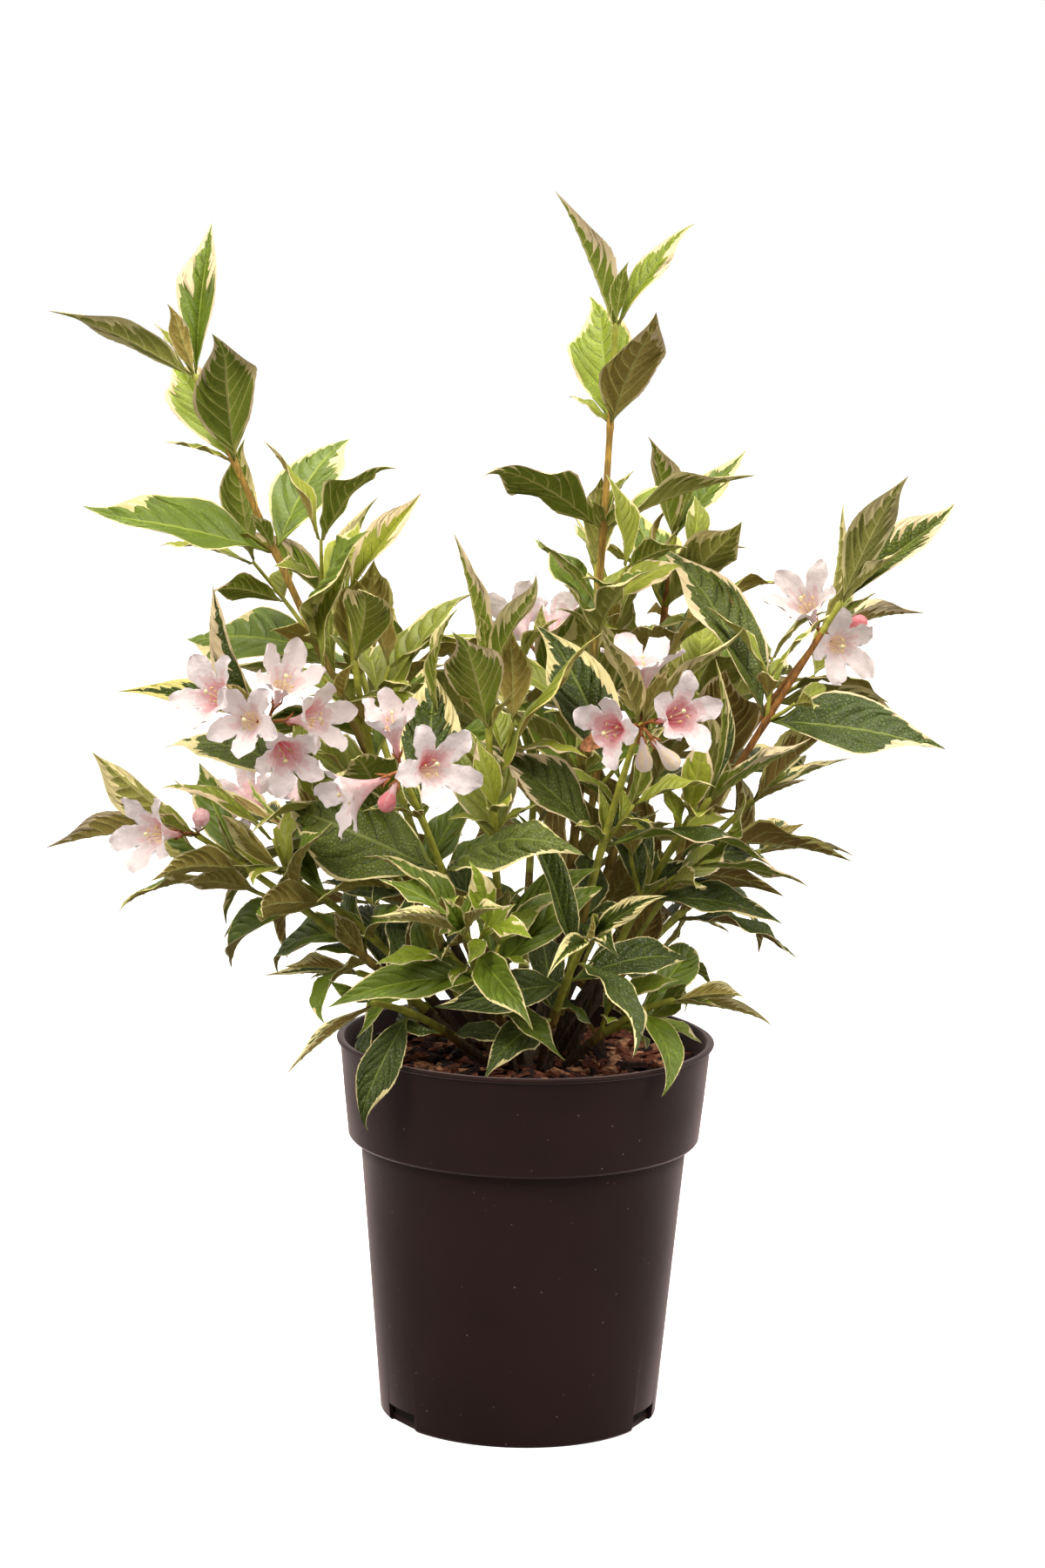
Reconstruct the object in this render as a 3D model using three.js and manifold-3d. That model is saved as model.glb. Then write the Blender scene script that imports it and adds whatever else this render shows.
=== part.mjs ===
// A variegated weigela in flower, growing in a plain nursery pot.
// Millimetres, +Z up. The origin is the centre of the pot's flat underside, and -Y is the front.

import * as THREE from 'three';
import { mergeVertices } from 'three/addons/utils/BufferGeometryUtils.js';
import Module from 'manifold-3d';

const wasm = await Module();
wasm.setup();

// The pot
const POT_HEIGHT = 193;
const RIM_RADIUS = 95;
const COLLAR_RADIUS = 93.1;
const COLLAR_FOOT_RADIUS = 88.4;
const COLLAR_FOOT = 142;
const BODY_RADIUS = 82.3;
const BASE_RADIUS = 70;
const WALL = 2.2;
const FLOOR = 3;
const LIP_DEPTH = 4;
const POT_SIDES = 40;
const NOTCH_BEARINGS = [-57, 65, 184];
const NOTCH_WIDTH = 24;
const NOTCH_HEIGHT = 9;
const NOTCH_DEPTH = 8;

// The potting mix and the woody stool at its middle
const SOIL_LEVEL = 177;
const SEAT = 0.3;
const STOOL_RADIUS = 21;
const STOOL_HEIGHT = 9;

// The canes
const FOOT_LEVEL = 183;
const CANE_FOOT_RADIUS = 2.7;
const CANE_TAPER = 1.2;
const CANE_SIDES = 5;
const CANE_STEPS = 4;
const CLEARANCE = 0.3;
const TOUCH = 0.05;
const SHORTEST_EDGE = 0.02;
const STEM_STEPS = 4;
const TWIG_RADIUS = 1.3;
const NODE_SPREAD = 0.85;

// Leaves and flowers
const LEAF_WIDTH = 0.45;
const LEAF_THICKNESS = 0.014;
const LEAF_WAIST = 0.42;
const ROOT = 0.6;
const TIP_OPENING = 24;
const FLOWER_RADIUS = 18;
const LOBES = 5;

const TAU = Math.PI * 2;
const UP = new THREE.Vector3(0, 0, 1);
const EAST = new THREE.Vector3(1, 0, 0);

// How each kind of shoot grows: where its curve bends (shares of its reach and of its rise), how
// much of it is bare, its leaf length, and how far its leaves open and bend in degrees.
const HABITS = {
  upright: { lean: 0.8, rise: 0.41, bare: 0.39, leaf: 82, open: 48, bend: 30 },
  leader: { lean: 0.42, rise: 0.42, bare: 0.43, leaf: 94, open: 54, bend: 34 },
  bloom: { lean: 0.46, rise: 0.57, bare: 0.41, leaf: 88, open: 53, bend: 50 },
  spray: { lean: 0.5, rise: 0.7, bare: 0.34, leaf: 82, open: 56, bend: 60 },
  low: { lean: 0.56, rise: 0.82, bare: 0.34, leaf: 72, open: 66, bend: 60 },
  rear: { lean: 0.59, rise: 0.5, bare: 0.36, leaf: 88, open: 52, bend: 46 },
};

// Each shoot: name, habit, tip, then its foot's distance from the axis and bearing from +X, the
// number of leaf pairs, the turn of its top pair, the pair with side twigs counted from the top
// (0 for none), and the seed of its variation.
const SHOOTS = [
  ['right_bloom', 'bloom', [148, 82, 388], 16, 30, 4, 60, 0, 133],
  ['left_bloom', 'bloom', [-130, -26, 354], 7, 210, 4, 15, 0, 491],
  ['far_left_bloom', 'bloom', [-164, -30, 298], 26, 199, 4, -15, 2, 525],
  ['front_left_bloom', 'bloom', [-62, -92, 342], 19, 236, 4, -15, 0, 645],
  ['front_right_bloom', 'bloom', [52, -62, 362], 18, 310, 4, 0, 0, 31],
  ['back_middle', 'rear', [4, 126, 366], 18, 100, 5, 0, 2, 24],
  ['back_low_left', 'spray', [-128, 112, 278], 24, 135, 4, 15, 0, 756],
  ['tall_right', 'upright', [37, 6, 549], 9, 10, 5, 15, 3, 16],
  ['tall_left', 'leader', [-169, 6, 520], 11, 165, 5, 30, 3, 195],
  ['right_leader', 'leader', [151, 0, 415], 15, 355, 3, 60, 0, 449],
  ['bright_left', 'upright', [-92, -32, 418], 15, 200, 5, 30, 2, 33],
  ['centre', 'upright', [-22, -60, 384], 14, 260, 5, 0, 2, 560],
  ['centre_back', 'upright', [40, 56, 388], 15, 80, 4, 0, 2, 497],
  ['mid_right', 'upright', [70, 60, 440], 10, 50, 5, 60, 2, 399],
  ['right_mid', 'spray', [88, -18, 318], 23, 343, 4, -30, 2, 772],
  ['right_spray', 'spray', [112, 30, 310], 21, 15, 4, 60, 0, 80],
  ['left_spray', 'spray', [-120, -26, 278], 24, 183, 4, -15, 0, 640],
  ['low_front', 'spray', [-30, -104, 266], 23, 255, 4, 15, 0, 911],
  ['low_front_right', 'spray', [28, -88, 260], 23, 290, 4, 15, 0, 358],
  ['low_left', 'low', [-84, -10, 226], 26, 165, 3, -15, 0, 980],
  ['low_front_left', 'low', [-74, -76, 225], 26, 220, 3, 0, 0, 671],
  ['low_right', 'low', [72, -42, 222], 26, 325, 3, 0, 0, 782],
  ['back_left', 'rear', [-98, 84, 394], 17, 145, 5, 30, 2, 518],
  ['back_right', 'rear', [82, 136, 356], 19, 60, 5, -75, 2, 447],
  ['back_low', 'spray', [28, 160, 256], 24, 80, 4, -45, 0, 810],
  ['back_low_right', 'spray', [120, 108, 270], 24, 44, 4, -15, 0, 290],
];

// Each flower: bearing from the front towards +X and elevation in degrees, distance of its mouth
// from the shoot's tip, and how far open it is (0 is a bud).
const BLOOMS = {
  left_bloom: [[-44, 25, 43, 1], [-12, 10, 40, 1], [24, 52, 38, 1], [48, 18, 40, 1], [24, -16, 37, 1]],
  far_left_bloom: [[-39, 8, 36, 1], [10, 30, 28, 0]],
  front_left_bloom: [[24, 11, 43, 1], [-38, -10, 42, 1], [-17, 57, 34, 0.55], [-10, -16, 30, 0]],
  front_right_bloom: [[8, 62, 36, 1], [-26, 5, 38, 1], [30, 15, 41, 1], [34, -29, 28, 0], [0, -38, 24, 0]],
  right_bloom: [[13, 0, 38, 1], [-26, 42, 34, 1], [50, 23, 30, 0]],
  back_middle: [[165, 20, 40, 1], [-155, 30, 40, 1], [-170, -15, 30, 0]],
  back_low_left: [[-140, 15, 40, 1], [170, 25, 38, 1]],
};

const MATERIALS = {
  pot: new THREE.MeshStandardMaterial({ color: 0x2e2422, roughness: 0.45, metalness: 0 }),
  soil: new THREE.MeshStandardMaterial({ color: 0x3a1d14, roughness: 1, metalness: 0 }),
  wood: new THREE.MeshStandardMaterial({ color: 0x8a6a40, roughness: 0.85, metalness: 0 }),
  leaf: new THREE.MeshStandardMaterial({ color: 0x667033, roughness: 0.6, metalness: 0 }),
  bloom: new THREE.MeshStandardMaterial({ color: 0x8d9560, roughness: 0.6, metalness: 0 }),
};

const radians = THREE.MathUtils.degToRad;

// A repeatable stream of numbers for one shoot.
function stream(seed) {
  let state = (seed * 7919 + 12345) % 2147483647;
  const share = () => {
    state = (state * 16807) % 2147483647;
    return state / 2147483647;
  };
  share();
  share();
  share();
  return { share, swing: (size) => (share() * 2 - 1) * size };
}

function solidOf(geometry) {
  const bare = geometry.index ? geometry.toNonIndexed() : geometry.clone();
  bare.deleteAttribute('normal');
  bare.deleteAttribute('uv');
  const merged = mergeVertices(bare, 1e-4);
  const corners = merged.index.array;
  const kept = [];
  for (let i = 0; i < corners.length; i += 3) {
    const [a, b, c] = corners.slice(i, i + 3);
    if (a !== b && b !== c && c !== a) {
      kept.push(a, b, c);
    }
  }
  return solidFrom(merged.attributes.position.array, kept);
}

function solidFrom(vertices, faces) {
  return new wasm.Manifold(new wasm.Mesh({
    numProp: 3,
    vertProperties: new Float32Array(vertices),
    triVerts: new Uint32Array(faces),
  }));
}

function meshOf(name, solid, material) {
  const { vertProperties, triVerts } = solid.getMesh();
  const geometry = new THREE.BufferGeometry();
  geometry.setAttribute('position', new THREE.BufferAttribute(vertProperties, 3));
  geometry.setIndex(new THREE.BufferAttribute(triVerts, 1));
  const mesh = new THREE.Mesh(geometry, material);
  mesh.name = name;
  return mesh;
}

function turned(profile, sides) {
  return solidOf(new THREE.LatheGeometry(profile.map(([r, z]) => new THREE.Vector2(r, z)), sides)
    .rotateX(Math.PI / 2));
}

// The pot: a tapered body under a deeper collar with a thin lip, three notches at its foot.
function pot() {
  const inner = (radius) => radius - WALL;
  const profile = [
    [0, 0],
    [BASE_RADIUS - 1, 0],
    [BASE_RADIUS, 1],
    [BODY_RADIUS, COLLAR_FOOT - 1],
    [COLLAR_FOOT_RADIUS - 1.5, COLLAR_FOOT],
    [COLLAR_FOOT_RADIUS, COLLAR_FOOT + 2],
    [COLLAR_RADIUS, POT_HEIGHT - LIP_DEPTH],
    [RIM_RADIUS, POT_HEIGHT - LIP_DEPTH + 1],
    [RIM_RADIUS, POT_HEIGHT - 1],
    [RIM_RADIUS - 1, POT_HEIGHT],
    [inner(COLLAR_RADIUS) + 0.8, POT_HEIGHT],
    [inner(COLLAR_RADIUS), POT_HEIGHT - 2],
    [inner(COLLAR_FOOT_RADIUS), COLLAR_FOOT + 3],
    [inner(BODY_RADIUS), COLLAR_FOOT],
    [inner(BASE_RADIUS), FLOOR],
    [0, FLOOR],
  ];
  let body = turned(profile, POT_SIDES);
  for (const bearing of NOTCH_BEARINGS) {
    const notch = new THREE.BoxGeometry(NOTCH_WIDTH, NOTCH_DEPTH, NOTCH_HEIGHT * 2);
    notch.translate(0, -BASE_RADIUS - 0.5, 0);
    notch.rotateZ(radians(bearing));
    body = body.subtract(solidOf(notch));
  }
  return body;
}

function pottingMix() {
  const gap = WALL + SEAT;
  return turned([
    [0, FLOOR + SEAT],
    [BASE_RADIUS - gap, FLOOR + SEAT],
    [BODY_RADIUS - gap, COLLAR_FOOT + 0.5],
    [COLLAR_FOOT_RADIUS - gap - 0.2, COLLAR_FOOT + 4],
    [COLLAR_RADIUS - gap - 1.8, SOIL_LEVEL],
    [0, SOIL_LEVEL],
  ], POT_SIDES);
}

// The short woody stem that the canes spring from; grown by a margin it cuts their feet clear of it.
function stool(margin) {
  const outline = [[0, 0], [1, 0], [0.78, 0.35], [0.6, 0.8], [0.35, 1], [0, 1]];
  return turned(outline.map(([out, up]) => [
    out > 0 ? STOOL_RADIUS * out + margin * 2.5 : 0,
    SOIL_LEVEL + SEAT + STOOL_HEIGHT * up + (up > 0 ? margin : -margin / 4),
  ]), 14);
}

// One shoot's curve, walked by its share of the whole length.
function shootFrom([name, habit, tip, footReach, footBearing, pairs, turn, twigPair, seed]) {
  const kind = HABITS[habit];
  const end = new THREE.Vector3(...tip);
  const foot = new THREE.Vector3(
    footReach * Math.cos(radians(footBearing)),
    footReach * Math.sin(radians(footBearing)),
    FOOT_LEVEL,
  );
  const bend = new THREE.Vector3(
    foot.x + (end.x - foot.x) * kind.lean,
    foot.y + (end.y - foot.y) * kind.lean,
    foot.z + (end.z - foot.z) * kind.rise,
  );
  const curve = new THREE.QuadraticBezierCurve3(foot, bend, end);
  curve.arcLengthDivisions = 400;
  const at = (share) => curve.getPointAt(THREE.MathUtils.clamp(share, 0, 1));
  const heading = (share) => at(share + 0.02).sub(at(share - 0.02)).normalize();
  const radius = (share) => CANE_FOOT_RADIUS - CANE_TAPER * share;
  return { name, ...kind, pairs, turn, twigPair, seed, at, heading, radius, length: curve.getLength() };
}

// A closed tube of rings about a list of points, each ring square to its own heading.
function tube(points, headings, radii, sides) {
  const vertices = [];
  const faces = [];
  points.forEach((point, step) => {
    const { east, north } = crossAxes(headings[step]);
    for (let side = 0; side < sides; side += 1) {
      const angle = (side / sides) * TAU;
      const spot = point.clone()
        .addScaledVector(east, radii[step] * Math.cos(angle))
        .addScaledVector(north, radii[step] * Math.sin(angle));
      vertices.push(spot.x, spot.y, spot.z);
    }
  });
  for (let step = 0; step + 1 < points.length; step += 1) {
    for (let side = 0; side < sides; side += 1) {
      const a = step * sides + side;
      const b = step * sides + ((side + 1) % sides);
      faces.push(a, b, a + sides, b, b + sides, a + sides);
    }
  }
  const last = (points.length - 1) * sides;
  for (let side = 1; side + 1 < sides; side += 1) {
    faces.push(0, side + 1, side, last, last + side, last + side + 1);
  }
  return solidFrom(vertices, faces);
}

function crossAxes(heading) {
  const east = EAST.clone().addScaledVector(heading, -heading.x).normalize();
  return { east, north: new THREE.Vector3().crossVectors(heading, east) };
}

function caneEnd(shoot) {
  return shoot.bare - 6 / shoot.length;
}

// The bare part of a shoot, from the potting mix up to its foliage.
function cane(shoot, stump) {
  const points = [];
  const headings = [];
  const radii = [];
  const first = shoot.heading(0.02);
  const drop = (FOOT_LEVEL - SOIL_LEVEL - SEAT) / first.z;
  points.push(shoot.at(0).addScaledVector(first, -drop));
  headings.push(UP.clone());
  radii.push(shoot.radius(0) + 0.25);
  for (let step = 0; step <= CANE_STEPS; step += 1) {
    const share = (caneEnd(shoot) * step) / CANE_STEPS;
    points.push(shoot.at(share));
    headings.push(shoot.heading(Math.max(share, 0.02)));
    radii.push(shoot.radius(share));
  }
  return largest(tube(points, headings, radii, CANE_SIDES).subtract(stump));
}

// The largest body of a solid, without edges too short to build.
function largest(solid) {
  return solid.simplify(SHORTEST_EDGE)
    .decompose()
    .reduce((best, piece) => (piece.volume() > best.volume() ? piece : best));
}

// The leafy part of a shoot's own stem.
function leafyStem(shoot) {
  const start = caneEnd(shoot) + CLEARANCE / shoot.length;
  const shares = Array.from({ length: STEM_STEPS + 1 }, (_, step) => start + ((1 - start) * step) / STEM_STEPS);
  return tube(
    shares.map(shoot.at),
    shares.map((share) => shoot.heading(Math.min(share, 0.98))),
    shares.map((share) => shoot.radius(share) * 1.15),
    3,
  );
}

// The direction, upper side and right side of a leaf that opens from a stem.
function leafAxes(heading, bearing, opening, twist) {
  const { east, north } = crossAxes(heading);
  const out = east.multiplyScalar(Math.cos(bearing)).addScaledVector(north, Math.sin(bearing));
  const along = heading.clone().multiplyScalar(Math.cos(radians(opening)))
    .addScaledVector(out, Math.sin(radians(opening)))
    .addScaledVector(UP, -0.1)
    .normalize();
  const inward = heading.clone().addScaledVector(along, -heading.dot(along)).normalize();
  const skyward = UP.clone().addScaledVector(along, -along.z);
  const lift = 0.4 * Math.min(1, skyward.length() * 1.2);
  const above = inward.multiplyScalar(1 - lift).addScaledVector(skyward.normalize(), lift);
  above.addScaledVector(along, -above.dot(along)).normalize();
  const right = new THREE.Vector3().crossVectors(along, above);
  const face = above.clone().multiplyScalar(Math.cos(twist)).addScaledVector(right, Math.sin(twist));
  const side = right.multiplyScalar(Math.cos(twist)).addScaledVector(above, -Math.sin(twist));
  return { along, face, side };
}

// A leaf as eight faces about its base, tip, two shoulders and the two sides of its midrib.
function leaf(spec, bearingShift, openingShift) {
  const { along, face, side } = leafAxes(
    spec.heading, spec.bearing + bearingShift, spec.opening + openingShift, spec.twist,
  );
  const walk = (share) => {
    const spot = spec.base.clone();
    const steps = 8;
    for (let step = 0; step < steps; step += 1) {
      const angle = radians(spec.bend) * (((step + 0.5) * share) / steps) ** 1.6;
      spot.addScaledVector(along, (Math.cos(angle) * spec.length * share) / steps);
      spot.addScaledVector(face, (-Math.sin(angle) * spec.length * share) / steps);
    }
    return spot;
  };
  const droop = radians(spec.bend) * LEAF_WAIST ** 1.6;
  const above = face.clone().multiplyScalar(Math.cos(droop)).addScaledVector(along, Math.sin(droop));
  const half = (spec.width * spec.length) / 2;
  const thick = Math.max(1, spec.length * LEAF_THICKNESS);
  const waist = walk(LEAF_WAIST);
  const shoulder = (turn) => waist.clone()
    .addScaledVector(side, turn * half * Math.cos(radians(spec.fold)))
    .addScaledVector(above, half * Math.sin(radians(spec.fold)));
  const base = spec.base.clone().addScaledVector(along, -spec.root);
  const corners = [
    base,
    walk(1),
    shoulder(1),
    shoulder(-1),
    waist.clone().addScaledVector(above, thick / 2),
    waist.clone().addScaledVector(above, -thick / 2),
  ];
  const faces = [0, 2, 4, 0, 4, 3, 1, 4, 2, 1, 3, 4, 0, 5, 2, 0, 3, 5, 1, 2, 5, 1, 5, 3];
  return solidFrom(corners.flatMap((corner) => corner.toArray()), faces);
}

// Every leaf and side twig of a shoot, in the order that its seed gives them.
function foliagePlan(shoot) {
  const { swing, share: draw } = stream(shoot.seed);
  const leaves = [];
  const twigs = [];
  const last = shoot.pairs - 1;
  for (let pair = 0; pair <= last; pair += 1) {
    const height = pair / last;
    const place = shoot.bare + (1 - shoot.bare) * height ** NODE_SPREAD;
    const base = shoot.at(place);
    const heading = shoot.heading(place);
    const root = shoot.radius(place) * ROOT;
    const swell = (0.8 + 0.24 * Math.sin(Math.PI * Math.min(1, height * 1.15))) * (pair < last ? 1 : 0.88);
    const opening = shoot.open + (TIP_OPENING - shoot.open) * height ** 3;
    const bearing = radians(shoot.turn + 90 * (last - pair)) + swing(0.35);
    for (const half of [0, Math.PI]) {
      leaves.push({
        joints: [pair],
        base,
        heading,
        root,
        bearing: bearing + half + swing(0.25),
        length: shoot.leaf * swell * (1 + swing(0.1)),
        opening: opening + swing(10),
        bend: shoot.bend * (1 + swing(0.5)),
        width: LEAF_WIDTH + swing(0.05),
        fold: 20 + swing(12),
        twist: swing(0.75),
      });
    }
    if (pair === last) {
      const bud = base.clone().addScaledVector(heading, 2);
      for (const half of [0, Math.PI]) {
        leaves.push({
          joints: [pair],
          base: bud,
          heading,
          root: 2.4,
          bearing: bearing + Math.PI / 2 + half,
          length: shoot.leaf * (0.38 + swing(0.05)),
          opening: 12 + swing(4),
          bend: 10,
          width: 0.34,
          fold: 35,
          twist: 0,
        });
      }
    }
    if (shoot.twigPair > 0 && last - pair === shoot.twigPair) {
      for (const half of [0, Math.PI]) {
        const { east, north } = crossAxes(heading);
        const side = bearing + half + swing(0.5);
        const spread = radians(34 + swing(8));
        const way = heading.clone().multiplyScalar(Math.cos(spread))
          .addScaledVector(east, Math.cos(side) * Math.sin(spread))
          .addScaledVector(north, Math.sin(side) * Math.sin(spread))
          .addScaledVector(UP, 0.25)
          .normalize();
        const reach = shoot.leaf * (0.4 + draw() * 0.2);
        twigs.push({ joints: [pair, `${half}_1`, `${half}_2`], base, way, reach });
        for (const [level, along, size] of [[1, 0.55, 0.5], [2, 1, 0.66]]) {
          const knuckle = base.clone().addScaledVector(way, reach * along);
          for (const turn of [0, Math.PI]) {
            leaves.push({
              joints: [`${half}_${level}`],
              base: knuckle,
              heading: way,
              root: TWIG_RADIUS * ROOT,
              bearing: side + (Math.PI / 2) * level + turn,
              length: shoot.leaf * size * (1 + swing(0.12)),
              opening: (level === 1 ? 44 : 28) + swing(6),
              bend: 35 + swing(15),
              width: 0.4,
              fold: 24,
              twist: swing(0.5),
            });
          }
        }
      }
    }
  }
  return { leaves, twigs };
}

// A funnel with five lobes, closed as a star about its throat; a bud is a closed spindle.
function bloom(tip, [bearing, elevation, reach, open]) {
  const way = new THREE.Vector3(
    Math.sin(radians(bearing)) * Math.cos(radians(elevation)),
    -Math.cos(radians(bearing)) * Math.cos(radians(elevation)),
    Math.sin(radians(elevation)),
  );
  const { east, north } = crossAxes(way);
  const vertices = [];
  const faces = [];
  const add = (along, radius, angle) => {
    const spot = tip.clone().addScaledVector(way, along)
      .addScaledVector(east, radius * Math.cos(angle))
      .addScaledVector(north, radius * Math.sin(angle));
    vertices.push(spot.x, spot.y, spot.z);
    return vertices.length / 3 - 1;
  };
  const root = add(-2.5, 0, 0);
  const neck = Array.from({ length: LOBES }, (_, k) => add(reach * 0.45, open ? 3 : 3.6, (k / LOBES) * TAU));
  const heart = add(reach * (open ? 0.62 : 1), 0, 0);
  neck.forEach((corner, k) => faces.push(root, neck[(k + 1) % LOBES], corner));
  if (!open) {
    neck.forEach((corner, k) => faces.push(heart, corner, neck[(k + 1) % LOBES]));
    return solidFrom(vertices, faces);
  }
  const outline = [[0, 0.98, 1], [0.3, 0.98, 0.92], [0.5, 0.86, 0.42], [0.7, 0.98, 0.92]];
  const star = [];
  for (let lobe = 0; lobe < LOBES; lobe += 1) {
    for (const [turn, along, radius] of outline) {
      star.push(add(reach * along, FLOWER_RADIUS * open * radius, ((lobe + turn) / LOBES) * TAU));
    }
  }
  star.forEach((corner, k) => {
    const next = star[(k + 1) % star.length];
    const lobe = Math.floor((k + 2) / 4) % LOBES;
    faces.push(heart, corner, next, neck[lobe], next, corner);
    if (k % 4 === 1) {
      faces.push(neck[lobe], neck[(lobe + 1) % LOBES], next);
    }
  });
  return solidFrom(vertices, faces);
}

// Whether a piece keeps clear of all that has been placed before it.
function fits(piece, placed, clearance) {
  const box = piece.boundingBox();
  const reach = clearance * 2;
  return placed.every(({ solid, bounds }) => {
    const apart = [0, 1, 2].some((axis) => box.min[axis] > bounds.max[axis] + reach
      || box.max[axis] < bounds.min[axis] - reach);
    return apart || solid.minGap(piece, reach) >= clearance;
  });
}

function place(solid, joints) {
  return { solid, joints, bounds: solid.boundingBox() };
}

const NUDGES = [[0, 0], [0.2, 0], [-0.2, 0], [0, -10], [0, 12], [0.4, -6], [-0.4, -6], [0.6, 8], [-0.6, 8]];

// The stem, side twigs, flowers and leaves of one shoot, fused into one solid. What shares a joint
// may meet at its root; all else stays apart.
function foliage(shoot, stem, placed) {
  const plan = foliagePlan(shoot);
  const own = [];
  for (const spray of BLOOMS[shoot.name] ?? []) {
    const flower = bloom(shoot.at(1), spray);
    if (fits(flower, placed, CLEARANCE)) {
      own.push(place(flower, [shoot.pairs - 1]));
    }
  }
  for (const { joints, base, way, reach } of plan.twigs) {
    const ends = [base.clone(), base.clone().addScaledVector(way, reach)];
    const twig = tube(ends, [way, way], [TWIG_RADIUS, TWIG_RADIUS * 0.8], 3);
    if (fits(twig, placed, CLEARANCE)) {
      own.push(place(twig, joints));
    }
  }
  for (const spec of plan.leaves) {
    const others = own.filter(({ joints }) => !joints.includes(spec.joints[0]));
    const blade = NUDGES.map(([turn, lift]) => leaf(spec, turn, lift))
      .find((piece) => fits(piece, placed, CLEARANCE) && fits(piece, others, TOUCH));
    if (blade) {
      own.push(place(blade, spec.joints));
    }
  }
  return largest(own.reduce((mass, { solid }) => mass.add(solid), stem));
}

const plant = new THREE.Group();
const shoots = SHOOTS.map(shootFrom);
plant.add(meshOf('pot', pot(), MATERIALS.pot));
plant.add(meshOf('potting_mix', pottingMix(), MATERIALS.soil));
plant.add(meshOf('stool', stool(0), MATERIALS.wood));

const stump = stool(SEAT);
const placed = [pot(), pottingMix(), stool(0)].map((solid) => place(solid, []));
for (const shoot of shoots) {
  const bareCane = cane(shoot, stump);
  plant.add(meshOf(`cane_${shoot.name}`, bareCane, MATERIALS.wood));
  placed.push(place(bareCane, []));
}
const stems = shoots.map(leafyStem);
for (const [index, shoot] of shoots.entries()) {
  const later = stems.slice(index + 1).map((stem) => place(stem, []));
  const mass = foliage(shoot, stems[index], [...placed, ...later]);
  const material = BLOOMS[shoot.name] ? MATERIALS.bloom : MATERIALS.leaf;
  plant.add(meshOf(`foliage_${shoot.name}`, mass, material));
  placed.push(place(mass, []));
}

export default plant;
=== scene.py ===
"""A variegated weigela in flower in a plain nursery pot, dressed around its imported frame."""

import math
from functools import partial

import bpy
import numpy as np
from mathutils import Matrix, Vector
from mathutils.bvhtree import BVHTree


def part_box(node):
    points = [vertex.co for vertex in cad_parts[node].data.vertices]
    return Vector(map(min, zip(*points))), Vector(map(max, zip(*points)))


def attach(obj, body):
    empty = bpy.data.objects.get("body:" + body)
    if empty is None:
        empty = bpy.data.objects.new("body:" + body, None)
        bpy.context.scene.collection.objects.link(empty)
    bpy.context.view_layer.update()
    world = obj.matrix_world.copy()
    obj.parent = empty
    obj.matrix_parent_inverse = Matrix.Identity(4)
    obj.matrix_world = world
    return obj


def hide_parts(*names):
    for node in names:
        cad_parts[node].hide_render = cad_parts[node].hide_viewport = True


bl_info = {
    "name": "Potted Weigela",
    "version": (1, 0, 0),
    "blender": (4, 5, 0),
    "location": "View3D > Sidebar > Weigela",
    "description": "Builds a variegated weigela in flower with its pot, bark chips and studio",
    "category": "Add Mesh",
}

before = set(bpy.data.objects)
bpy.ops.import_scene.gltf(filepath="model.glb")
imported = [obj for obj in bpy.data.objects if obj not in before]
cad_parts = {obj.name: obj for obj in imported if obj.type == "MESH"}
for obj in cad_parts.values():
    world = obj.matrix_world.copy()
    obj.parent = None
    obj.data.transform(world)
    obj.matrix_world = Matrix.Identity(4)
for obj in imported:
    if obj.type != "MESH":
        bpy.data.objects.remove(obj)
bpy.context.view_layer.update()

MM = 0.001
TAU = math.tau
UP = np.array([0.0, 0.0, 1.0])
EAST = np.array([1.0, 0.0, 0.0])
HALVES = (0, math.pi)

# ---------------------------------------------------------------- growth, in millimetres

SOIL_LEVEL = 177.0
FOOT_LEVEL = 183.0
CANE_FOOT_RADIUS = 2.7
CANE_TAPER = 1.2
CURVE_STEPS = 400
NODE_SPREAD = 0.85
# How far below its first leaves a cane ends and its leafy stem begins.
STEM_OVERLAP = 6
LEAF_WIDTH = 0.45
LEAF_WAIST = 0.42
TIP_OPENING = 24.0
# Leaves that spring below the low level are shorter and narrower, by these shares.
LOW_LEVEL, LOW_LENGTH, LOW_WIDTH = 285.0, 0.92, 0.74
# Below this level there are fewer small leaves and twigs.
SHADED_LEVEL = 290
# The pair at a shoot's tip is smaller than the swell of the others gives, by this share.
TIP_PAIR = 0.88

# How each kind of shoot grows: where its curve bends (shares of its reach and of its rise), how
# much of it is bare, its leaf length, and how far its leaves open and bend in degrees.
HABITS = {
    "upright": (0.8, 0.41, 0.39, 82, 48, 30),
    "leader": (0.42, 0.42, 0.43, 94, 54, 34),
    "bloom": (0.46, 0.57, 0.41, 88, 53, 50),
    "spray": (0.5, 0.7, 0.34, 82, 56, 60),
    "low": (0.56, 0.82, 0.34, 72, 66, 60),
    "rear": (0.59, 0.5, 0.36, 88, 52, 46),
}

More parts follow.
